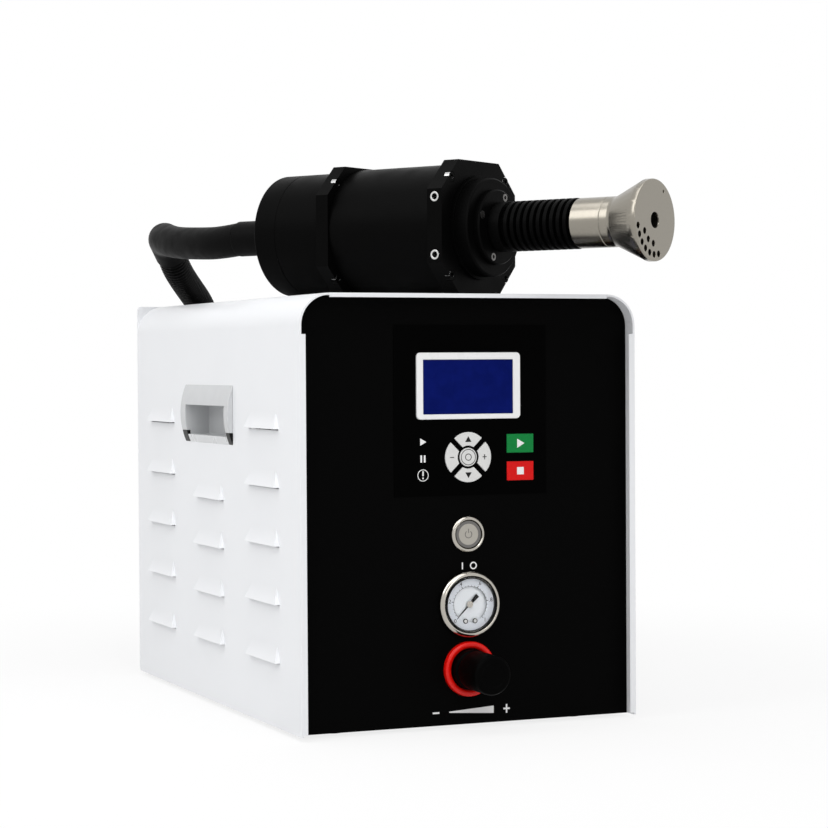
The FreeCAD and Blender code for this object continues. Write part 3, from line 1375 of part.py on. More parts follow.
def hose():
    """Sleeved stretch from the torch, hose over the rear edge, floor coil and tail to the socket."""
    up = float(mm.foot_height)
    coil_centre = Vector(float(mm.coil_x), float(mm.coil_y), 0)
    reach = float(mm.coil_mean_radius)
    landing = coil_centre + Vector(12, -reach, (coil_layers * 2 - 1) * float(mm.hose_radius))
    leaving = coil_centre + Vector(-reach, 0, float(mm.hose_radius))
    sleeve_end = Vector(-107.5, 161.5, 340.8 + up)
    sleeve_points = [torch_point(float(gland_end)), Vector(-107.9, 28.8, 346.0 + up),
                     Vector(-116.5, 58.0, 344.0 + up), Vector(-123.0, 94.0, 344.8 + up),
                     Vector(-123.5, 122.0, 348.2 + up), Vector(-120.0, 139.0, 350.0 + up),
                     Vector(-114.5, 151.0, 347.6 + up), sleeve_end]
    hose_solid("hose_sleeve", sleeve_points, mm.sleeve_radius)
    drop_points = [sleeve_end, Vector(-97.5, 178.0, 330.0 + up), Vector(-81.5, 205.0, 319.5 + up),
                   Vector(-57.0, 241.0, 303.0 + up), Vector(-33.0, 266.0, 262.0 + up),
                   Vector(-17.0, 277.0, 206.0 + up), Vector(-1.0, 273.0, 154.0),
                   Vector(30.0, 255.0, 105.0), Vector(72.0, 240.0, 73.0), landing]
    hose_solid("hose_tube", drop_points, mm.hose_radius)
    tail_points = [leaving, Vector(0.4, 318.0, 12.0), Vector(0.0, 290.0, 12.7),
                   Vector(-0.3, 264.0, 15.4), Vector(0.2, 240.0, float(mm.socket_z + mm.foot_height) - 1.6),
                   Vector(0.0, float(back_y + mm.socket_proud), float(mm.socket_z + mm.foot_height))]
    hose_solid("hose_tail", tail_points, mm.hose_radius)
    outer = rod("coil_outer", mm.coil_mean_radius + mm.hose_radius, coil_layers * 2 * mm.hose_radius,
                mm.coil_x, mm.coil_y, 0.0)
    inner = rod("coil_inner", mm.coil_mean_radius - mm.hose_radius, coil_layers * 2 * mm.hose_radius + 2,
                mm.coil_x, mm.coil_y, -1.0)
    keep(cut("coil", outer, [inner]), "hose_coil")


# The whole object

def build():
    base_tray()
    rubber_feet()
    cover_shell()
    rear_panel()
    rear_panel_screws()
    side_handle(LEFT, "handle_left")
    side_handle(RIGHT, "handle_right")
    handle_trim()
    front_panel()
    membrane_overlay()
    display_bezel()
    display_module()
    keys()
    control_board()
    power_button()
    pressure_gauge()
    pressure_regulator()
    cooling_fan()
    mains_inlet()
    air_fitting()
    hose_socket()
    transformer()
    inverter()
    torch_flanges()
    torch_tubes()
    bearing_housing()
    torch_screws()
    thread_inserts()
    rotating_shaft()
    finned_neck()
    nozzle()
    electrode()
    hose_gland()
    hose()


def check_and_write():
    """Stop on any failed object or bad shape, then write each sub-part to its file."""
    doc.recompute()
    failed = [f"{obj.Label}: {obj.State}" for obj in doc.Objects
              if "Invalid" in obj.State or "Error" in obj.State]
    for obj in sub_parts:
        if obj.Shape.isNull() or not obj.Shape.isValid() or not obj.Shape.Solids:
            failed.append(f"{obj.Label}: bad shape")
    if failed:
        raise RuntimeError("; ".join(failed))
    os.makedirs("parts", exist_ok=True)
    for obj in sub_parts:
        obj.Shape.exportStep(os.path.join("parts", f"{obj.Label}.step"))
    print("wrote", len(sub_parts), "sub-parts")


build()
check_and_write()
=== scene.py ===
"""Looks of the plasma treatment unit: its painted cabinet, black torch and coiled hose."""
import bmesh
import bpy
import json
import math
from mathutils import Matrix, Vector


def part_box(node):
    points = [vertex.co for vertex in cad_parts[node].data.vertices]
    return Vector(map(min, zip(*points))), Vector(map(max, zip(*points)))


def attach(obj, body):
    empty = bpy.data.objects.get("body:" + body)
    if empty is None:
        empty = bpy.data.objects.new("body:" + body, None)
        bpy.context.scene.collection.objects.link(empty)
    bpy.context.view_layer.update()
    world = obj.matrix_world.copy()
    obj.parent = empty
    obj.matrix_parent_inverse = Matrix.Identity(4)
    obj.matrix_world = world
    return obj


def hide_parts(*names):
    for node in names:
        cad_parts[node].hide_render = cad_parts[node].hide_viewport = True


MM = 0.001
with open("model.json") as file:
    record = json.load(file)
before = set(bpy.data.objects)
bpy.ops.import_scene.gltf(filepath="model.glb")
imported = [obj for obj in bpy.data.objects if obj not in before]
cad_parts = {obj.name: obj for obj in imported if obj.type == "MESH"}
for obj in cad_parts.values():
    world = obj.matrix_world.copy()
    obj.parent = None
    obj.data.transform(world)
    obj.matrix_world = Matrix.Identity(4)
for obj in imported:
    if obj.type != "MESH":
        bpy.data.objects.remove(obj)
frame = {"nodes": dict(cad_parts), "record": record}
nodes = frame["nodes"]
body_of = {node: body for body, members in frame["record"]["behaviour"]["bodies"].items()
           for node in members}
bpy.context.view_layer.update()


def mm(*values):
    return Vector([value * MM for value in values])


# Places and sizes, in millimetres, as the solids have them

FOOT_HEIGHT = 3.0
CABINET_HEIGHT = 300.0
PANEL_FACE_Y = -184.0
OVERLAY_PROUD = 0.5
CONTROLS_X = 0.8
BUTTON_Z = 132.6
GAUGE_Z = 83.9
PAD_X = 1.2
PAD_Z = 186.4
WHITE_KEYS_X = 41.2
RUN_Z = 195.4
STOP_Z = 176.05
FLANGE_SQUARE = 93.5
TORCH_AT = mm(16.7, -171.2, FOOT_HEIGHT + CABINET_HEIGHT + FLANGE_SQUARE / 2)
TORCH_TURN = math.radians(32.05)
TORCH = (Matrix.Translation(TORCH_AT) @ Matrix.Rotation(TORCH_TURN, 4, "Z")
         @ Matrix.Rotation(math.pi / 2, 4, "X"))


def on_panel(x, z, out=0.0):
    """Frame of a control: its Z axis points out of the front panel's face."""
    place = Matrix.Translation(mm(x, PANEL_FACE_Y - out, FOOT_HEIGHT + z))
    return place @ Matrix.Rotation(math.pi / 2, 4, "X")


def out_of_panel(node):
    """How far a node's front stands out of the front panel's face."""
    return PANEL_FACE_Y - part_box(node)[0][1] / MM


# Materials

class Finish:
    """A principled material with short calls for the textures that break up its surface."""

    def __init__(self, name, colour, roughness, metallic=0.0, **sockets):
        self.material = bpy.data.materials.new(name)
        self.material.use_nodes = True
        self.tree = self.material.node_tree
        self.shader = self.tree.nodes["Principled BSDF"]
        self.set("Base Color", (*colour, 1.0))
        self.set("Roughness", roughness)
        self.set("Metallic", metallic)
        for socket, value in sockets.items():
            self.set(socket.replace("_", " "), value)

    def set(self, socket, value):
        self.shader.inputs[socket].default_value = value

    def node(self, kind, **settings):
        made = self.tree.nodes.new(kind)
        for name, value in settings.items():
            setattr(made, name, value)
        return made

    def join(self, start, end):
        self.tree.links.new(start, end)

    def place(self, turn=None, stretch=None):
        """Object coordinates, turned into a piece's own frame and stretched where asked."""
        source = self.node("ShaderNodeTexCoord").outputs["Object"]
        if turn is None and stretch is None:
            return source
        mapping = self.node("ShaderNodeMapping", vector_type="TEXTURE")
        if turn is not None:
            mapping.inputs["Location"].default_value = turn.to_translation()
            mapping.inputs["Rotation"].default_value = turn.to_euler()
        if stretch is not None:
            mapping.inputs["Scale"].default_value = stretch
        self.join(source, mapping.inputs["Vector"])
        return mapping.outputs["Vector"]

    def noise(self, size, detail=3.0, turn=None, stretch=None):
        """Noise whose grains are about the given size in millimetres."""
        texture = self.node("ShaderNodeTexNoise")
        texture.inputs["Scale"].default_value = 1000.0 / size
        texture.inputs["Detail"].default_value = detail
        self.join(self.place(turn, stretch), texture.inputs["Vector"])
        return texture.outputs["Fac"]

    def mottle(self, dark, light, size, **place):
        """Let the colour wander between two near tones."""
        ramp = self.node("ShaderNodeValToRGB")
        ramp.color_ramp.elements[0].position = 0.35
        ramp.color_ramp.elements[1].position = 0.65
        ramp.color_ramp.elements[0].color = (*dark, 1.0)
        ramp.color_ramp.elements[1].color = (*light, 1.0)
        self.join(self.noise(size, **place), ramp.inputs["Fac"])
        self.join(ramp.outputs["Color"], self.shader.inputs["Base Color"])
        return self

    def smears(self, low, high, size, **place):
        """Let the roughness wander between two values."""
        spread = self.node("ShaderNodeMapRange")
        spread.inputs["From Min"].default_value = 0.3
        spread.inputs["From Max"].default_value = 0.7
        spread.inputs["To Min"].default_value = low
        spread.inputs["To Max"].default_value = high
        self.join(self.noise(size, **place), spread.inputs["Value"])
        self.join(spread.outputs["Result"], self.shader.inputs["Roughness"])
        return self

    def relief(self, height, size, detail=2.0, **place):
        """Raise the surface by a height in millimetres."""
        bump = self.node("ShaderNodeBump")
        bump.inputs["Distance"].default_value = height * MM
        bump.inputs["Strength"].default_value = 1.0
        self.join(self.noise(size, detail, **place), bump.inputs["Height"])
        self.join(bump.outputs["Normal"], self.shader.inputs["Normal"])
        return self


def grey(value):
    return (value, value, value)


def powder_paint():
    return Finish("powder_paint", (0.80, 0.81, 0.83), 0.42).relief(0.012, 0.9).smears(0.38, 0.48, 40)


def panel_paint():
    return Finish("panel_paint", grey(0.0016), 0.45, Specular_IOR_Level=0.012).relief(
        0.006, 0.7).smears(0.4, 0.52, 30)


def overlay_plastic():
    return Finish("overlay_plastic", grey(0.0010), 0.3, Specular_IOR_Level=0.006).relief(
        0.002, 0.5).smears(0.26, 0.36, 25)


def anodised_black():
    return Finish("anodised_black", grey(0.0013), 0.36, Specular_IOR_Level=0.025).relief(
        0.003, 0.4).smears(0.34, 0.48, 18)


def turned_steel():
    """Satin steel whose gloss changes in faint rings round the torch's axis."""
    endless = 1.0e4
    rings = (endless, endless, 1.0)
    steel = Finish("turned_steel", (0.29, 0.27, 0.232), 0.24, 1.0)
    return steel.smears(0.22, 0.27, 4.0, turn=TORCH, stretch=rings)


def bright_metal(name, colour, roughness):
    return Finish(name, colour, roughness, 1.0).smears(roughness * 0.8, roughness * 1.4, 6)


def moulded(name, colour, roughness, **sockets):
    return Finish(name, colour, roughness, **sockets).relief(0.01, 0.5).smears(
        roughness * 0.85, roughness * 1.15, 12)


def rubber(name, tone, roughness, shine):
    made = Finish(name, grey(tone), roughness, Specular_IOR_Level=shine)
    return made.relief(0.02, 0.6).smears(roughness * 0.85, roughness * 1.2, 9)


def display_glass():
    """Dark blue screen that gives a little light of its own."""
    made = Finish("display_glass", (0.0015, 0.005, 0.08), 0.25, Specular_IOR_Level=0.02)
    made.mottle((0.0013, 0.0045, 0.07), (0.002, 0.006, 0.09), 9)
    made.set("Emission Color", (0.002, 0.006, 0.09, 1.0))
    made.set("Emission Strength", 0.25)
    return made.smears(0.22, 0.3, 15)


def clear_glass():
    made = Finish("clear_glass", (1.0, 1.0, 1.0), 0.02)
    made.set("Transmission Weight", 1.0)
    made.set("IOR", 1.15)
    return made.smears(0.015, 0.03, 12)


powder = powder_paint().material
panel_black = panel_paint().material
overlay_black = overlay_plastic().material
torch_black = anodised_black().material
nozzle_steel = turned_steel().material
chrome = bright_metal("warm_chrome", (0.46, 0.435, 0.39), 0.14).material
button_steel = bright_metal("button_steel", (0.40, 0.38, 0.34), 0.38).material
plain_steel = bright_metal("plain_steel", (0.45, 0.45, 0.45), 0.3).material
screw_steel = bright_metal("screw_steel", (0.60, 0.60, 0.59), 0.25).material
dark_steel = bright_metal("dark_steel", (0.16, 0.155, 0.15), 0.3).material
iron = bright_metal("laminated_iron", (0.09, 0.09, 0.09), 0.5).material
brass = bright_metal("brass", (0.62, 0.44, 0.18), 0.25).material
handle_silver = moulded("handle_silver", (0.54, 0.55, 0.56), 0.38).material
handle_bar_silver = moulded("handle_bar_silver", (0.62, 0.63, 0.64), 0.3).material
black_plastic = moulded("black_plastic", grey(0.004), 0.36, Specular_IOR_Level=0.12).material
knob_black = moulded("knob_black", grey(0.0012), 0.42, Specular_IOR_Level=0.015).material
white_plastic = moulded("white_plastic", (0.82, 0.82, 0.82), 0.3).material
key_grey = moulded("key_grey", (0.66, 0.66, 0.65), 0.45).material
key_green = moulded("key_green", (0.007, 0.20, 0.045), 0.4, Specular_IOR_Level=0.08).material
key_red = moulded("key_red", (0.64, 0.010, 0.010), 0.4, Specular_IOR_Level=0.08).material
ring_red = moulded("ring_red", (0.74, 0.005, 0.002), 0.28, Specular_IOR_Level=0.3).material
board_green = moulded("board_green", (0.01, 0.12, 0.03), 0.4).material
dial_white = moulded("dial_white", (0.80, 0.83, 0.86), 0.5).material
dial_grey = moulded("dial_grey", (0.68, 0.71, 0.76), 0.5).material
ink_white = moulded("ink_white", grey(0.80), 0.5).material
ink_black = moulded("ink_black", grey(0.006), 0.5, Specular_IOR_Level=0.2).material
hose_rubber = rubber("hose_rubber", 0.0010, 0.22, 0.03).material
boot_rubber = rubber("boot_rubber", 0.0022, 0.46, 0.04).material
screen_blue = display_glass().material
lens_clear = clear_glass().material

NODE_FINISH = {
    "base_tray": powder, "cover_shell": powder, "rear_panel": powder, "front_panel": panel_black,
    "rubber_feet": boot_rubber, "rear_panel_screws": plain_steel, "handle_left": handle_silver,
    "handle_right": handle_silver, "handle_bars": handle_bar_silver, "handle_end_blocks": black_plastic,
    "membrane_overlay": overlay_black, "display_bezel": white_plastic, "display_module": screen_blue,
    "key_up": key_grey, "key_down": key_grey, "key_minus": key_grey, "key_plus": key_grey,
    "key_menu": key_grey, "key_run": key_green, "key_stop": key_red, "control_board": board_green,
    "power_button_body": chrome, "power_button_cap": button_steel, "gauge_case": chrome,
    "gauge_dial": dial_white, "gauge_needle": black_plastic, "gauge_lens": lens_clear,
    "regulator_body": knob_black, "regulator_ring": ring_red, "adjusting_screw": plain_steel,
    "regulator_knob": knob_black, "fan_frame": black_plastic, "fan_rotor": black_plastic,
    "mains_inlet": black_plastic, "air_fitting": chrome, "hose_socket": chrome,
    "high_voltage_transformer": iron, "inverter_board": board_green,
    "torch_front_flange": torch_black, "torch_main_housing": torch_black,
    "torch_rear_flange": torch_black, "torch_rear_housing": torch_black, "torch_rear_cap": torch_black,
    "bearing_housing": torch_black, "bearing_cover": torch_black, "torch_screws": dark_steel,
    "thread_inserts": screw_steel, "shaft_bearings": plain_steel, "hollow_shaft": plain_steel,
    "motor_stator": iron, "motor_rotor": iron, "electrode": brass, "finned_neck": torch_black,
    "nozzle_tube": nozzle_steel, "nozzle_head": nozzle_steel, "hose_gland": boot_rubber,
    "hose_sleeve": hose_rubber, "hose_tube": hose_rubber, "hose_coil": hose_rubber,
    "hose_tail": hose_rubber}


def dress_nodes():
    """Give every solid its finish, also where a finished copy replaces it later."""
    for name, material in NODE_FINISH.items():
        mesh = nodes[name].data
        mesh.materials.clear()
        mesh.materials.append(material)


# Building blocks for pieces

def piece(name, mesh, material, body, replaced=(), sharp=35.0):
    """Finish a mesh as a piece that rides on a body, with its creases kept sharp."""
    mesh.name = name
    made = bpy.data.objects.new(name, mesh)
    bpy.context.scene.collection.objects.link(made)
    mesh.materials.clear()
    mesh.materials.append(material)
    if sharp is not None:
        mesh.shade_smooth()
        mesh.set_sharp_from_angle(angle=math.radians(sharp))
    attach(made, body)
    if replaced:
        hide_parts(*replaced)
    return made


def evaluated_mesh(host):
    """The plain mesh that an object's modifiers make, with the object removed."""
    graph = bpy.context.evaluated_depsgraph_get()
    mesh = bpy.data.meshes.new_from_object(host.evaluated_get(graph), depsgraph=graph)
    bpy.data.objects.remove(host)
    return mesh


def host_of(mesh, name="host"):
    made = bpy.data.objects.new(name, mesh)
    bpy.context.scene.collection.objects.link(made)
    return made


# Solids with rounded edges

EDGE_ROUNDING = {
    "cover_shell": 0.5, "base_tray": 0.4, "rear_panel": 0.3, "front_panel": 0.3, "handle_left": 0.7,
    "handle_right": 0.7, "handle_bars": 1.4, "handle_end_blocks": 1.2, "display_bezel": 0.5,
    "key_up": 0.35, "key_down": 0.35, "key_minus": 0.35, "key_plus": 0.35, "key_menu": 0.35,
    "key_run": 0.35, "key_stop": 0.35, "power_button_body": 0.7, "power_button_cap": 0.4,
    "gauge_case": 1.0, "regulator_body": 0.4, "regulator_ring": 1.6, "regulator_knob": 0.9,
    "adjusting_screw": 0.3, "torch_front_flange": 0.5, "torch_main_housing": 0.4,
    "torch_rear_flange": 0.5, "torch_rear_housing": 0.4, "torch_rear_cap": 0.9,
    "bearing_housing": 0.5, "bearing_cover": 0.5, "torch_screws": 0.25, "thread_inserts": 0.3,
    "finned_neck": 0.25, "nozzle_tube": 0.35, "nozzle_head": 0.4, "hose_gland": 0.6, "fan_frame": 0.5,
    "fan_rotor": 0.3, "mains_inlet": 0.4, "air_fitting": 0.3, "hose_socket": 0.4, "rubber_feet": 0.8,
    "rear_panel_screws": 0.3}
SAME_PLACE = 2e-6
FLAT_ANGLE = math.radians(0.3)
EDGE_ANGLE = math.radians(30)
TURNED_STEEL = ("nozzle_tube", "nozzle_head")
END_FACE_SHARE = 0.96
FACET_SHARE = 0.15
CORNER_SCREW_REACH = 40.0
# Painted highlight on the corner screws: the side their bright faces turn to, and how closely they must
# face it.
PAINTED_GLINT_SIDE = Vector((-0.77, -0.48, 0.42))
PAINTED_GLINT_SHARE = 0.82


def rounded_copy(name, width):
    """A copy of a solid with its doubles merged, its edges rounded and its curved walls smooth."""
    mesh = nodes[name].data.copy()
    shape = bmesh.new()
    shape.from_mesh(mesh)
    bmesh.ops.remove_doubles(shape, verts=shape.verts, dist=SAME_PLACE)
    bmesh.ops.dissolve_limit(shape, angle_limit=FLAT_ANGLE, verts=shape.verts, edges=shape.edges)
    for face in shape.faces:
        face.smooth = True
    shape.to_mesh(mesh)
    shape.free()
    host = host_of(mesh)
    edge = host.modifiers.new("edge", "BEVEL")
    edge.width = width * MM
    edge.segments = 2
    edge.limit_method = "ANGLE"
    edge.angle_limit = EDGE_ANGLE
    shade = host.modifiers.new("shade", "WEIGHTED_NORMAL")
    shade.keep_sharp = True
    return evaluated_mesh(host)


def true_turned_normals(mesh):
    """Give a turned piece's walls the normals of true cylinders and cones about the torch's axis."""
    back = TORCH.inverted()
    turn, turn_back = TORCH.to_3x3(), back.to_3x3()
    normals = [corner.vector.copy() for corner in mesh.corner_normals]
    for face in mesh.polygons:
        facing = turn_back @ face.normal
        middle = back @ face.center
        outward = Vector((middle.x, middle.y, 0.0)).normalized()
        tangential = outward.cross(facing).z
        if abs(facing.z) > END_FACE_SHARE or abs(tangential) > FACET_SHARE:
            continue
        side = math.copysign(1.0, outward.dot(facing))
        for corner in face.loop_indices:
            place = back @ mesh.vertices[mesh.loops[corner].vertex_index].co
            rise = (turn_back @ normals[corner]).z
            if abs(rise) < END_FACE_SHARE:
                away = Vector((place.x, place.y, 0.0)).normalized() * side
                normals[corner] = turn @ (away * math.sqrt(1.0 - rise * rise) + Vector((0, 0, rise)))
    mesh.normals_split_custom_set(normals)


def finish_solids():
    """Replace each solid that has edges worth rounding with its rounded copy."""
    for name, width in EDGE_ROUNDING.items():
        mesh = rounded_copy(name, width)
        if name in TURNED_STEEL:
            true_turned_normals(mesh)
        made = piece(f"{name}_finished", mesh, NODE_FINISH[name], body_of[name], (name,), sharp=None)
        if name == "torch_screws":
            blacken_corner_screws_paint_glint(made.data)


def blacken_corner_screws_paint_glint(mesh):
    """The plates' corner screws are black, with a painted highlight in bright steel on the faces turned
    towards one side; the bearing cover's are dark.
    """
    mesh.materials.append(torch_black)
    mesh.materials.append(plain_steel)
    back = TORCH.inverted()
    for face in mesh.polygons:
        local = back @ face.center
        if math.hypot(local.x, local.y) > CORNER_SCREW_REACH * MM:
            # Painted highlight: faces turned towards one fixed side get bright steel, the rest black.
            face.material_index = 2 if face.normal.dot(PAINTED_GLINT_SIDE) > PAINTED_GLINT_SHARE else 1


# Geometry node trees

class Tree:
    """A geometry node tree that is written from its named inputs to its one output."""

    def __init__(self, name, inputs):
        self.tree = bpy.data.node_groups.new(name, "GeometryNodeTree")
        face = self.tree.interface
        face.new_socket("Geometry", in_out="INPUT", socket_type="NodeSocketGeometry")
        self.keys = {}
        for label, (kind, value) in inputs.items():
            socket = face.new_socket(label, in_out="INPUT", socket_type=f"NodeSocket{kind}")
            if value is not None:
                socket.default_value = value
            self.keys[label] = socket.identifier
        face.new_socket("Geometry", in_out="OUTPUT", socket_type="NodeSocketGeometry")
        self.source = self.tree.nodes.new("NodeGroupInput")
        self.result = self.tree.nodes.new("NodeGroupOutput")

    def given(self, label):
        return self.source.outputs[label]

    def node(self, kind, wires=(), **settings):
        made = self.tree.nodes.new(kind)
        for name, value in settings.items():
            setattr(made, name, value)
        for socket, value in dict(wires).items():
            self.feed(made.inputs[socket], value)
        return made

    def feed(self, socket, value):
        if isinstance(value, bpy.types.NodeSocket):
            self.tree.links.new(value, socket)
        else:
            socket.default_value = value

    def maths(self, operation, first, second=0.0):
        return self.node("ShaderNodeMath", {0: first, 1: second}, operation=operation).outputs[0]

    def finish(self, geometry):
        realized = self.node("GeometryNodeRealizeInstances", {"Geometry": geometry}).outputs[0]
        painted = self.node("GeometryNodeSetMaterial", {"Geometry": realized,
                                                        "Material": self.given("Material")})
        self.tree.links.new(painted.outputs[0], self.result.inputs["Geometry"])

    def run(self, mesh, **values):
        """Apply the tree to a mesh and give back the mesh that it makes."""
        host = host_of(mesh)
        modifier = host.modifiers.new("shape", "NODES")
        modifier.node_group = self.tree
        for label, value in values.items():
            modifier[self.keys[label]] = value
        return evaluated_mesh(host)


SAMPLES_PER_RIB = 5.0


def corrugated_hose_tree():
    """A tube along a path, with a groove for each pitch and a swelling at one place."""
    tree = Tree("corrugated_hose", {
        "Pitch": ("Float", 0.0038), "Radius": ("Float", 0.01), "Groove": ("Float", 0.1),
        "Swelling": ("Float", 0.0), "Swelling Place": ("Float", 0.0),
        "Swelling Spread": ("Float", 0.02), "Sides": ("Int", 16), "Material": ("Material", None)})
    curve = tree.node("GeometryNodeMeshToCurve", {"Mesh": tree.given("Geometry")}).outputs[0]
    step = tree.maths("DIVIDE", tree.given("Pitch"), SAMPLES_PER_RIB)
    fine = tree.node("GeometryNodeResampleCurve", {"Curve": curve, "Length": step}, mode="LENGTH")
    along = tree.node("GeometryNodeSplineParameter").outputs["Length"]
    turns = tree.maths("MULTIPLY", tree.maths("DIVIDE", along, tree.given("Pitch")), 2 * math.pi)
    dip = tree.maths("SUBTRACT", 0.5, tree.maths("MULTIPLY", tree.maths("COSINE", turns), 0.5))
    narrow_dip = tree.maths("POWER", dip, 2.0)
    ribbed = tree.maths("SUBTRACT", 1.0, tree.maths("MULTIPLY", narrow_dip, tree.given("Groove")))
    away = tree.maths("DIVIDE", tree.maths("SUBTRACT", along, tree.given("Swelling Place")),
                      tree.given("Swelling Spread"))
    fall = tree.maths("EXPONENT", tree.maths("MULTIPLY", tree.maths("MULTIPLY", away, away), -1.0))
    thicker = tree.maths("ADD", 1.0, tree.maths("MULTIPLY", fall, tree.given("Swelling")))
    radius = tree.maths("MULTIPLY", ribbed, thicker)
    ring = tree.node("GeometryNodeCurvePrimitiveCircle", {"Resolution": tree.given("Sides"),
                                                          "Radius": tree.given("Radius")})
    tube = tree.node("GeometryNodeCurveToMesh", {"Curve": fine.outputs[0], "Scale": radius,
                                                 "Profile Curve": ring.outputs[0], "Fill Caps": True})
    tree.finish(tube.outputs[0])
    return tree


def dial_marks_tree():
    """Short bars set round part of a circle, each pointing to its middle."""
    tree = Tree("dial_marks", {
        "Count": ("Int", 11), "Radius": ("Float", 0.016), "Start": ("Float", -2.356),
        "Sweep": ("Float", 4.712), "Length": ("Float", 0.0015), "Width": ("Float", 0.0004),
        "Height": ("Float", 0.0001), "Material": ("Material", None)})
    row = tree.node("GeometryNodeMeshLine", {"Count": tree.given("Count"), "Offset": (0, 0, 0)})
    number = tree.node("GeometryNodeInputIndex").outputs[0]
    share = tree.maths("DIVIDE", number, tree.maths("SUBTRACT", tree.given("Count"), 1.0))
    angle = tree.maths("ADD", tree.given("Start"), tree.maths("MULTIPLY", share, tree.given("Sweep")))
    across = tree.maths("MULTIPLY", tree.maths("SINE", angle), tree.given("Radius"))
    up = tree.maths("MULTIPLY", tree.maths("COSINE", angle), tree.given("Radius"))
    place = tree.node("ShaderNodeCombineXYZ", {"X": across, "Y": up}).outputs[0]
    spread = tree.node("GeometryNodeSetPosition", {"Geometry": row.outputs[0], "Position": place})
    size = tree.node("ShaderNodeCombineXYZ", {"X": tree.given("Width"), "Y": tree.given("Length"),
                                              "Z": tree.given("Height")}).outputs[0]
    bar = tree.node("GeometryNodeMeshCube", {"Size": size}).outputs[0]
    turn = tree.node("ShaderNodeCombineXYZ", {"Z": tree.maths("MULTIPLY", angle, -1.0)}).outputs[0]
    bars = tree.node("GeometryNodeInstanceOnPoints", {"Points": spread.outputs[0], "Instance": bar,
                                                      "Rotation": turn})
    tree.finish(bars.outputs[0])
    return tree


# Printed marks

MARK_SUNK = 0.02
FIGURE_SIZE_PER_HEIGHT = 1.35


class Marks:
    """Flat printed shapes, drawn in millimetres in the frame of the face that carries them."""

    def __init__(self, place, thick=0.06):
        self.shape = bmesh.new()
        self.place = place
        self.thick = thick

    def patch(self, outline):
        """A prism over a closed outline that runs anticlockwise."""
        low = [self.shape.verts.new(mm(x, y, -MARK_SUNK)) for x, y in outline]
        high = [self.shape.verts.new(mm(x, y, self.thick)) for x, y in outline]
        self.shape.faces.new(high)
        self.shape.faces.new(low[::-1])
        for number in range(len(outline)):
            after = (number + 1) % len(outline)
            self.shape.faces.new((low[number], low[after], high[after], high[number]))
        return self

    def bar(self, x, y, wide, tall):
        return self.patch([(x - wide / 2, y - tall / 2), (x + wide / 2, y - tall / 2),
                           (x + wide / 2, y + tall / 2), (x - wide / 2, y + tall / 2)])

    def plus(self, x, y, long, line):
        """A plus sign: a bar across, with an arm of half its length on either side."""
        arm = long / 2
        middle = (line + arm) / 2
        return self.bar(x, y, long, line).bar(x, y + middle, line, arm).bar(x, y - middle, line, arm)

    def arc(self, x, y, radius, width, start=0.0, end=360.0, steps=40):
        """A band round part of a circle, its angles in degrees from +X."""
        for step in range(steps):
            first = math.radians(start + (end - start) * step / steps)
            last = math.radians(start + (end - start) * (step + 1) / steps)
            inner, outer = radius - width / 2, radius + width / 2
            self.patch([(x + inner * math.cos(first), y + inner * math.sin(first)),
                        (x + outer * math.cos(first), y + outer * math.sin(first)),
                        (x + outer * math.cos(last), y + outer * math.sin(last)),
                        (x + inner * math.cos(last), y + inner * math.sin(last))])
        return self

    def disc(self, x, y, radius, steps=32):
        turns = [2 * math.pi * step / steps for step in range(steps)]
        return self.patch([(x + radius * math.cos(turn), y + radius * math.sin(turn)) for turn in turns])

    def figure(self, text, x, y, tall):
        """A plain number, centred on a point."""
        curve = bpy.data.curves.new("figure", "FONT")
        curve.body = text
        curve.size = tall * MM * FIGURE_SIZE_PER_HEIGHT
        curve.align_x, curve.align_y = "CENTER", "CENTER"
        curve.extrude = self.thick * MM / 2
        curve.resolution_u = 3
        mesh = evaluated_mesh(host_of(curve))
        mesh.transform(Matrix.Translation(mm(x, y, self.thick / 2)))
        self.shape.from_mesh(mesh)
        return self

    def add(self, mesh):
        self.shape.from_mesh(mesh)
        return self

    def print_on(self, name, material, body):
        mesh = bpy.data.meshes.new(name)
        self.shape.to_mesh(mesh)
        self.shape.free()
        mesh.transform(self.place)
        return piece(name, mesh, material, body)


ARROW_REACH = 12.4
ARROW_HALF = 2.4
ARROW_FOOT = ARROW_REACH - 1.8
ARROW_TIP = ARROW_REACH + 2.2
SIGN_LENGTH = 3.0
SIGN_LINE = 0.6


def key_marks():
    """Plain symbols on the keys: arrows, minus, plus, ring, run triangle and stop square."""
    out = out_of_panel("key_up")
    pad = on_panel(PAD_X, PAD_Z, out)
    Marks(pad).patch([(-ARROW_HALF, ARROW_FOOT), (ARROW_HALF, ARROW_FOOT), (0.0, ARROW_TIP)]).print_on(
        "up_mark", ink_black, body_of["key_up"])
    Marks(pad).patch([(-ARROW_HALF, -ARROW_FOOT), (0.0, -ARROW_TIP),
                      (ARROW_HALF, -ARROW_FOOT)]).print_on("down_mark", ink_black, body_of["key_down"])
    Marks(pad).bar(-ARROW_REACH, 0.0, SIGN_LENGTH, SIGN_LINE).print_on(
        "minus_mark", ink_black, body_of["key_minus"])
    Marks(pad).plus(ARROW_REACH, 0.0, SIGN_LENGTH, SIGN_LINE).print_on(
        "plus_mark", ink_black, body_of["key_plus"])
    Marks(pad).arc(0.0, 0.0, 5.4, 0.45).arc(0.0, 0.0, 2.2, 0.5).print_on(
        "menu_mark", ink_black, body_of["key_menu"])
    Marks(on_panel(WHITE_KEYS_X, RUN_Z, out)).patch([(-2.4, -3.2), (3.2, 0.0), (-2.4, 3.2)]).print_on(
        "run_mark", ink_white, body_of["key_run"])
    Marks(on_panel(WHITE_KEYS_X, STOP_Z, out)).bar(0.0, 0.0, 5.2, 5.2).print_on(
        "stop_mark", ink_white, body_of["key_stop"])


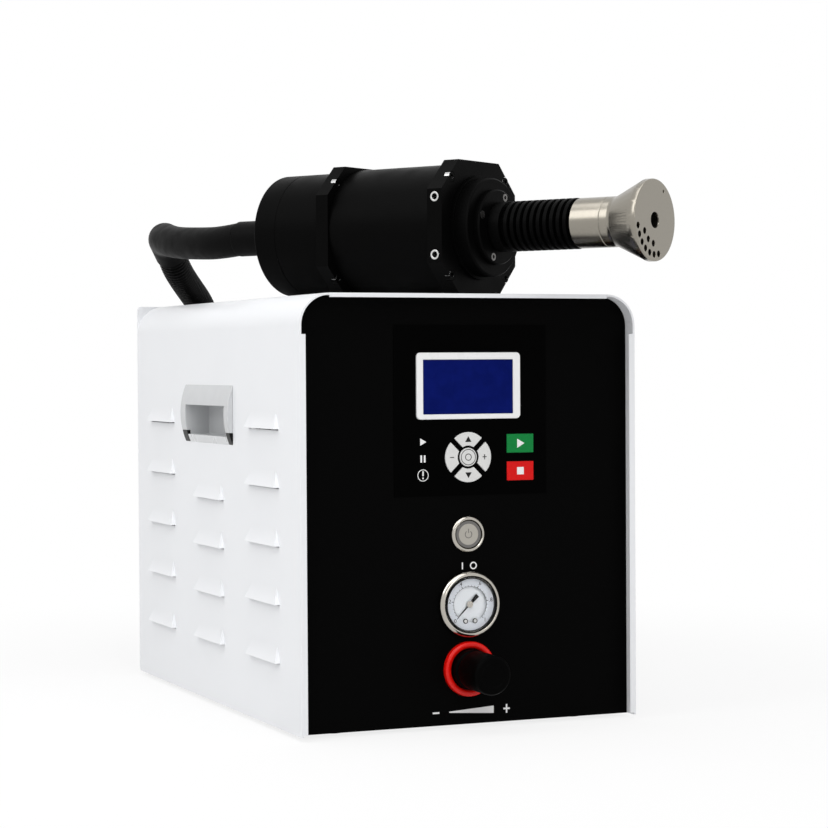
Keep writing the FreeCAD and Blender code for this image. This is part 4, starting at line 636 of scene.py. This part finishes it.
STATES_X = -33.0
RUN_STATE_Z = 197.5
PAUSE_STATE_Z = 185.8
FAULT_STATE_Z = 174.4
SWITCH_MARKS_Z = 110.6
SWITCH_MARKS_APART = 4.2
TRAVEL_Z = 9.0
TRAVEL_SIGN_LENGTH = 5.0
TRAVEL_SIGN_LINE = 1.2


def panel_marks():
    """State symbols beside the pad, the switch's line and ring, and the regulator's minus and plus."""
    states = Marks(on_panel(STATES_X, 0.0, OVERLAY_PROUD))
    states.patch([(-2.0, RUN_STATE_Z - 2.5), (2.6, RUN_STATE_Z), (-2.0, RUN_STATE_Z + 2.5)])
    states.bar(-1.3, PAUSE_STATE_Z, 1.3, 5.0).bar(1.3, PAUSE_STATE_Z, 1.3, 5.0)
    states.bar(0.0, FAULT_STATE_Z + 1.2, 1.1, 3.4).bar(0.0, FAULT_STATE_Z - 2.0, 1.1, 1.1)
    states.arc(0.0, FAULT_STATE_Z, 3.9, 0.5)
    states.print_on("state_marks", ink_white, "cabinet")
    labels = Marks(on_panel(0.0, 0.0))
    labels.bar(CONTROLS_X - SWITCH_MARKS_APART, SWITCH_MARKS_Z, 0.9, 4.8)
    labels.arc(CONTROLS_X + SWITCH_MARKS_APART, SWITCH_MARKS_Z, 2.2, 0.9)
    labels.bar(-24.0, TRAVEL_Z, TRAVEL_SIGN_LENGTH, TRAVEL_SIGN_LINE)
    labels.patch([(-14.0, TRAVEL_Z - 0.4), (20.0, TRAVEL_Z - 2.6),
                  (20.0, TRAVEL_Z + 2.6), (-14.0, TRAVEL_Z + 0.4)])
    labels.plus(30.0, TRAVEL_Z, TRAVEL_SIGN_LENGTH, TRAVEL_SIGN_LINE)
    labels.print_on("control_marks", ink_white, "cabinet")


STANDBY_LINE = 0.55


def button_marks():
    """A dark steel ring painted on the push button's cap as the shade of a recess, and the standby
    symbol on the cap.
    """
    cap = on_panel(CONTROLS_X, BUTTON_Z, out_of_panel("power_button_cap"))
    body = body_of["power_button_cap"]
    # Painted shade: a flat dark ring on the cap stands in for the shaded recess round the cap's middle.
    Marks(cap, 0.04).arc(0.0, 0.0, 8.4, 2.0, steps=60).print_on("button_painted_recess_shade", dark_steel, body)
    standby = Marks(cap).arc(0.0, 0.0, 2.5, STANDBY_LINE, 125.0, 415.0)
    standby.bar(0.0, 2.4, STANDBY_LINE, 3.0).print_on("standby_mark", dark_steel, body)


GAUGE_FIGURES = ("0", ".2", ".4", ".6", ".8", "1")
GAUGE_START = -135.0
GAUGE_SWEEP = 270.0
SCALE_LINE_RADIUS = 12.5
SCALE_FINE_RADIUS = 13.0
SCALE_COARSE_RADIUS = 13.3
SCALE_FINE_COUNT = 26
SCALE_INK = 0.1
FIGURES_RADIUS = 16.0
FIGURES_TALL = 2.9
DIAL_RIM_RADIUS = 15.6
DIAL_RIM_WIDTH = 6.0
SHADE_RING_RADIUS = 18.35
DIAL_SCREWS_Y = -11.6
DIAL_SCREWS_APART = 3.6
HAND_REACH = 16.5
HAND_BACK = 8.5
HAND_HALF = 0.55
HUB_RADIUS = 2.3


def gauge_face():
    """The gauge's scale with plain numbers, its two dial screws, and the needle with its hub."""
    face = on_panel(CONTROLS_X, GAUGE_Z, out_of_panel("gauge_dial"))
    tree = dial_marks_tree()
    shared = {"Start": math.radians(GAUGE_START), "Sweep": math.radians(GAUGE_SWEEP),
              "Height": SCALE_INK * MM, "Material": ink_black}
    coarse = tree.run(bpy.data.meshes.new("coarse"), Count=len(GAUGE_FIGURES),
                      Radius=SCALE_COARSE_RADIUS * MM, Length=1.6 * MM, Width=0.45 * MM, **shared)
    fine = tree.run(bpy.data.meshes.new("fine"), Count=SCALE_FINE_COUNT,
                    Radius=SCALE_FINE_RADIUS * MM, Length=0.9 * MM, Width=0.22 * MM, **shared)
    Marks(face, 0.03).arc(0.0, 0.0, DIAL_RIM_RADIUS, DIAL_RIM_WIDTH, steps=60).print_on(
        "gauge_dial_rim", dial_grey, "cabinet")
    scale = Marks(face).add(coarse).add(fine)
    scale.arc(0.0, 0.0, SCALE_LINE_RADIUS, 0.22, 90.0 + GAUGE_START, 90.0 - GAUGE_START, 60)
    for number, text in enumerate(GAUGE_FIGURES):
        angle = math.radians(GAUGE_START + GAUGE_SWEEP * number / (len(GAUGE_FIGURES) - 1))
        scale.figure(text, FIGURES_RADIUS * math.sin(angle), FIGURES_RADIUS * math.cos(angle),
                     FIGURES_TALL)
    scale.print_on("gauge_scale", ink_black, "cabinet")
    # Painted shade: a thin black ring standing 2.8 mm off the dial inside the case, for the dark
    # crescent of shade on the case's inner wall.
    Marks(face, 2.8).arc(0.0, 0.0, SHADE_RING_RADIUS, 0.4, steps=60).print_on(
        "gauge_painted_shade_ring", black_plastic, "cabinet")
    rims = Marks(face, 0.3)
    screws = Marks(face, 0.5)
    for x in (-DIAL_SCREWS_APART, DIAL_SCREWS_APART):
        rims.arc(x, DIAL_SCREWS_Y, 1.5, 0.6)
        screws.disc(x, DIAL_SCREWS_Y, 1.2)
    rims.print_on("gauge_screw_rims", ink_black, "cabinet")
    screws.print_on("gauge_dial_screws", screw_steel, "cabinet")
    needle_out = out_of_panel("gauge_needle")
    hand = Marks(on_panel(CONTROLS_X, GAUGE_Z, needle_out - 0.4), 0.35)
    hand.patch(turned_outline([(HAND_HALF, 0.0), (0.15, HAND_REACH), (-0.15, HAND_REACH),
                               (-HAND_HALF, 0.0)]))
    hand.patch(turned_outline([(-1.5, -HAND_BACK), (1.5, -HAND_BACK), (0.9, -1.0), (-0.9, -1.0)]))
    hand.disc(0.0, 0.0, 1.6)
    needle = hand.print_on("gauge_hand", black_plastic, body_of["gauge_needle"])
    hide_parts("gauge_needle")
    Marks(on_panel(CONTROLS_X, GAUGE_Z, needle_out), 0.4).disc(0.0, 0.0, HUB_RADIUS).print_on(
        "gauge_hub", chrome, body_of["gauge_needle"])


def turned_outline(points):
    """An outline drawn along +Y, turned to the scale's zero."""
    turn = Matrix.Rotation(-math.radians(GAUGE_START), 2)
    return [tuple(turn @ Vector(point)) for point in points]


# Hose

HOSE_RADIUS = 12.0
SLEEVE_RADIUS = 12.4
RIB_PITCH = 3.8
GROOVE_SHARE = 0.09
HOSE_SIDES = 16
SLEEVE_SIDES = 32
ELBOW_SWELLING = {"Swelling": 0.07, "Swelling Place": 0.138, "Swelling Spread": 0.03}
COIL_CENTRE = (110.0, 345.0)
COIL_RADIUS = 110.0
COIL_POINTS = 16
COIL_QUARTERS = 11
COIL_TOP = 5 * HOSE_RADIUS
SOCKET_Z = 20.0
GLAND_END = -216.0
SLEEVE_ROUTE = [
    (-107.9, 28.8, 347.4), (-116.5, 58.0, 348.4), (-123.0, 94.0, 350.6), (-123.5, 122.0, 354.6),
    (-120.0, 139.0, 356.2), (-114.5, 151.0, 353.2), (-107.5, 161.5, 344.8)]
DROP_ROUTE = [
    (-97.5, 178.0, 333.0), (-81.5, 205.0, 322.5), (-57.0, 241.0, 306.0), (-33.0, 266.0, 265.0),
    (-17.0, 277.0, 209.0), (-1.0, 273.0, 154.0), (30.0, 255.0, 105.0), (72.0, 240.0, 73.0)]
TAIL_ROUTE = [
    (0.4, 318.0, 12.0), (0.0, 290.0, 12.7), (-0.3, 264.0, 15.4),
    (0.2, 240.0, FOOT_HEIGHT + SOCKET_Z - 1.6), (0.0, 215.0, FOOT_HEIGHT + SOCKET_Z)]


def coil_route():
    """Turns of one radius that step down a layer in the last quarter of each turn."""
    points = []
    step = 360.0 / COIL_POINTS
    reach = COIL_RADIUS / math.cos(math.pi / COIL_POINTS)
    for number in range(COIL_QUARTERS * COIL_POINTS // 4 + 1):
        turned = number * step
        layers, rest = divmod(turned, 360.0)
        lowered = layers + max(0.0, rest - 270.0) / 90.0
        angle = math.radians(turned - 90.0)
        points.append((COIL_CENTRE[0] + reach * math.cos(angle),
                       COIL_CENTRE[1] + reach * math.sin(angle),
                       COIL_TOP - 2 * HOSE_RADIUS * lowered))
    return points


def smooth_line(name, points, samples=12):
    """The line of one NURBS spline with the points as its control points, as a mesh of edges."""
    curve = bpy.data.curves.new(name, "CURVE")
    curve.dimensions = "3D"
    spline = curve.splines.new("NURBS")
    spline.points.add(len(points) - 1)
    for point, place in zip(spline.points, points):
        point.co = (*place, 1.0)
    spline.order_u = 3
    spline.use_endpoint_u = True
    spline.resolution_u = samples
    return evaluated_mesh(host_of(curve, name))


def hose():
    """The corrugated hose from the torch to the rear socket, and the sleeve over its first stretch."""
    start = TORCH @ mm(0, 0, GLAND_END)
    sleeve_route = [start] + [mm(*point) for point in SLEEVE_ROUTE]
    route = sleeve_route + [mm(*point) for point in DROP_ROUTE + coil_route() + TAIL_ROUTE]
    line = smooth_line("hose_line", route)
    tree = corrugated_hose_tree()
    mesh = tree.run(line, Pitch=RIB_PITCH * MM, Radius=HOSE_RADIUS * MM, Groove=GROOVE_SHARE,
                    Sides=HOSE_SIDES, Material=hose_rubber)
    tube = piece("corrugated_hose", mesh, hose_rubber, "cabinet",
                 ("hose_tube", "hose_coil", "hose_tail"), sharp=80)
    cover_line = smooth_line("sleeve_line", sleeve_route)
    cover = tree.run(cover_line, Pitch=RIB_PITCH * MM, Radius=SLEEVE_RADIUS * MM, Groove=0.0,
                     Sides=SLEEVE_SIDES, Material=boot_rubber, **ELBOW_SWELLING)
    sleeve = piece("hose_sleeve_cover", cover, boot_rubber, "cabinet", ("hose_sleeve",), sharp=50)


# Camera, floor and light

CAMERA_AT = mm(-663.807, -1669.912, 253.634)
CAMERA_YAW = 0.397879
CAMERA_PITCH = -0.020878
CAMERA_ROLL = -0.005937
SENSOR_WIDTH = 36.0
LENS = 101.6
FLOOR_REACH = 6.0
FLOOR_GLOW = {"From Min": 0.25, "From Max": 0.8, "To Min": 0.80, "To Max": 1.0}
WHITE = (1.0, 1.0, 1.0, 1.0)
SOFT_LIGHT = 0.55
STUDIO_CENTRE = (0.0, 0.0, 0.2)


def photo_camera():
    """The camera as it was fitted to the photograph's corners and circles."""
    data = bpy.data.cameras.new("photo_camera")
    data.sensor_width = SENSOR_WIDTH
    data.lens = LENS
    data.clip_end = 20.0
    ahead = Vector((math.sin(CAMERA_YAW) * math.cos(CAMERA_PITCH),
                    math.cos(CAMERA_YAW) * math.cos(CAMERA_PITCH), math.sin(CAMERA_PITCH)))
    level = Vector((math.cos(CAMERA_YAW), -math.sin(CAMERA_YAW), 0.0))
    above = level.cross(ahead)
    right = level * math.cos(CAMERA_ROLL) + above * math.sin(CAMERA_ROLL)
    up = right.cross(ahead)
    turn = Matrix((right, up, -ahead)).transposed().to_4x4()
    camera = bpy.data.objects.new("photo_camera", data)
    camera.matrix_world = Matrix.Translation(CAMERA_AT) @ turn
    bpy.context.scene.collection.objects.link(camera)
    bpy.context.scene.camera = camera


def seen_directly(tree):
    """One where a ray comes from the camera, a mirror or glass."""
    path = tree.nodes.new("ShaderNodeLightPath")
    seen = path.outputs["Is Camera Ray"]
    for kind in ("Is Glossy Ray", "Is Transmission Ray"):
        either = tree.nodes.new("ShaderNodeMath")
        either.operation = "MAXIMUM"
        tree.links.new(seen, either.inputs[0])
        tree.links.new(path.outputs[kind], either.inputs[1])
        seen = either.outputs[0]
    return seen


def pale_floor():
    """A pale floor that shows nearly white and keeps the object's shadow."""
    reach = FLOOR_REACH
    mesh = bpy.data.meshes.new("floor")
    mesh.from_pydata([(-reach, -reach, 0), (reach, -reach, 0), (reach, reach, 0), (-reach, reach, 0)],
                     [], [(0, 1, 2, 3)])
    floor = host_of(mesh, "floor")
    made = Finish("floor_paint", grey(0.85), 0.9, Specular_IOR_Level=0.0)
    glow = made.node("ShaderNodeEmission")
    glow.inputs["Color"].default_value = WHITE
    glow.inputs["Strength"].default_value = 1.0
    mix = made.node("ShaderNodeMixShader")
    away = made.node("ShaderNodeVectorMath", operation="LENGTH")
    made.join(made.place(), away.inputs[0])
    fade = made.node("ShaderNodeMapRange", interpolation_type="SMOOTHSTEP")
    for socket, value in FLOOR_GLOW.items():
        fade.inputs[socket].default_value = value
    made.join(away.outputs["Value"], fade.inputs["Value"])
    share = made.node("ShaderNodeMath", operation="MULTIPLY")
    made.join(fade.outputs["Result"], share.inputs[1])
    made.join(seen_directly(made.tree), share.inputs[0])
    made.join(share.outputs[0], mix.inputs["Fac"])
    made.join(made.shader.outputs[0], mix.inputs[1])
    made.join(glow.outputs[0], mix.inputs[2])
    made.join(mix.outputs[0], made.tree.nodes["Material Output"].inputs["Surface"])
    mesh.materials.append(made.material)


def area_light(name, place, size, power):
    """A rectangular lamp that looks at the middle of the studio."""
    data = bpy.data.lights.new(name, "AREA")
    data.shape = "RECTANGLE"
    data.size, data.size_y = size
    data.energy = power
    lamp = bpy.data.objects.new(name, data)
    lamp.location = place
    towards = Vector(STUDIO_CENTRE) - Vector(place)
    lamp.rotation_euler = towards.to_track_quat("-Z", "Y").to_euler()
    bpy.context.scene.collection.objects.link(lamp)


def studio():
    """Soft light from all round and three lamps; cameras, mirrors and glass see plain white."""
    world = bpy.data.worlds.new("studio")
    bpy.context.scene.world = world
    world.use_nodes = True
    tree = world.node_tree
    soft = tree.nodes["Background"]
    soft.inputs["Color"].default_value = WHITE
    soft.inputs["Strength"].default_value = SOFT_LIGHT
    white = tree.nodes.new("ShaderNodeBackground")
    white.inputs["Color"].default_value = WHITE
    white.inputs["Strength"].default_value = 1.0
    mix = tree.nodes.new("ShaderNodeMixShader")
    tree.links.new(seen_directly(tree), mix.inputs["Fac"])
    tree.links.new(soft.outputs[0], mix.inputs[1])
    tree.links.new(white.outputs[0], mix.inputs[2])
    tree.links.new(mix.outputs[0], tree.nodes["World Output"].inputs["Surface"])
    area_light("top_light", (-0.3, -0.4, 1.7), (1.6, 1.6), 14)
    area_light("left_light", (-1.4, -0.3, 1.3), (1.0, 1.0), 8)
    area_light("front_light", (-0.3, -2.2, 1.2), (0.35, 1.8), 11)
    bpy.context.scene.view_settings.view_transform = "Standard"


photo_camera()
dress_nodes()
hose()
finish_solids()
key_marks()
panel_marks()
button_marks()
gauge_face()
pale_floor()
studio()
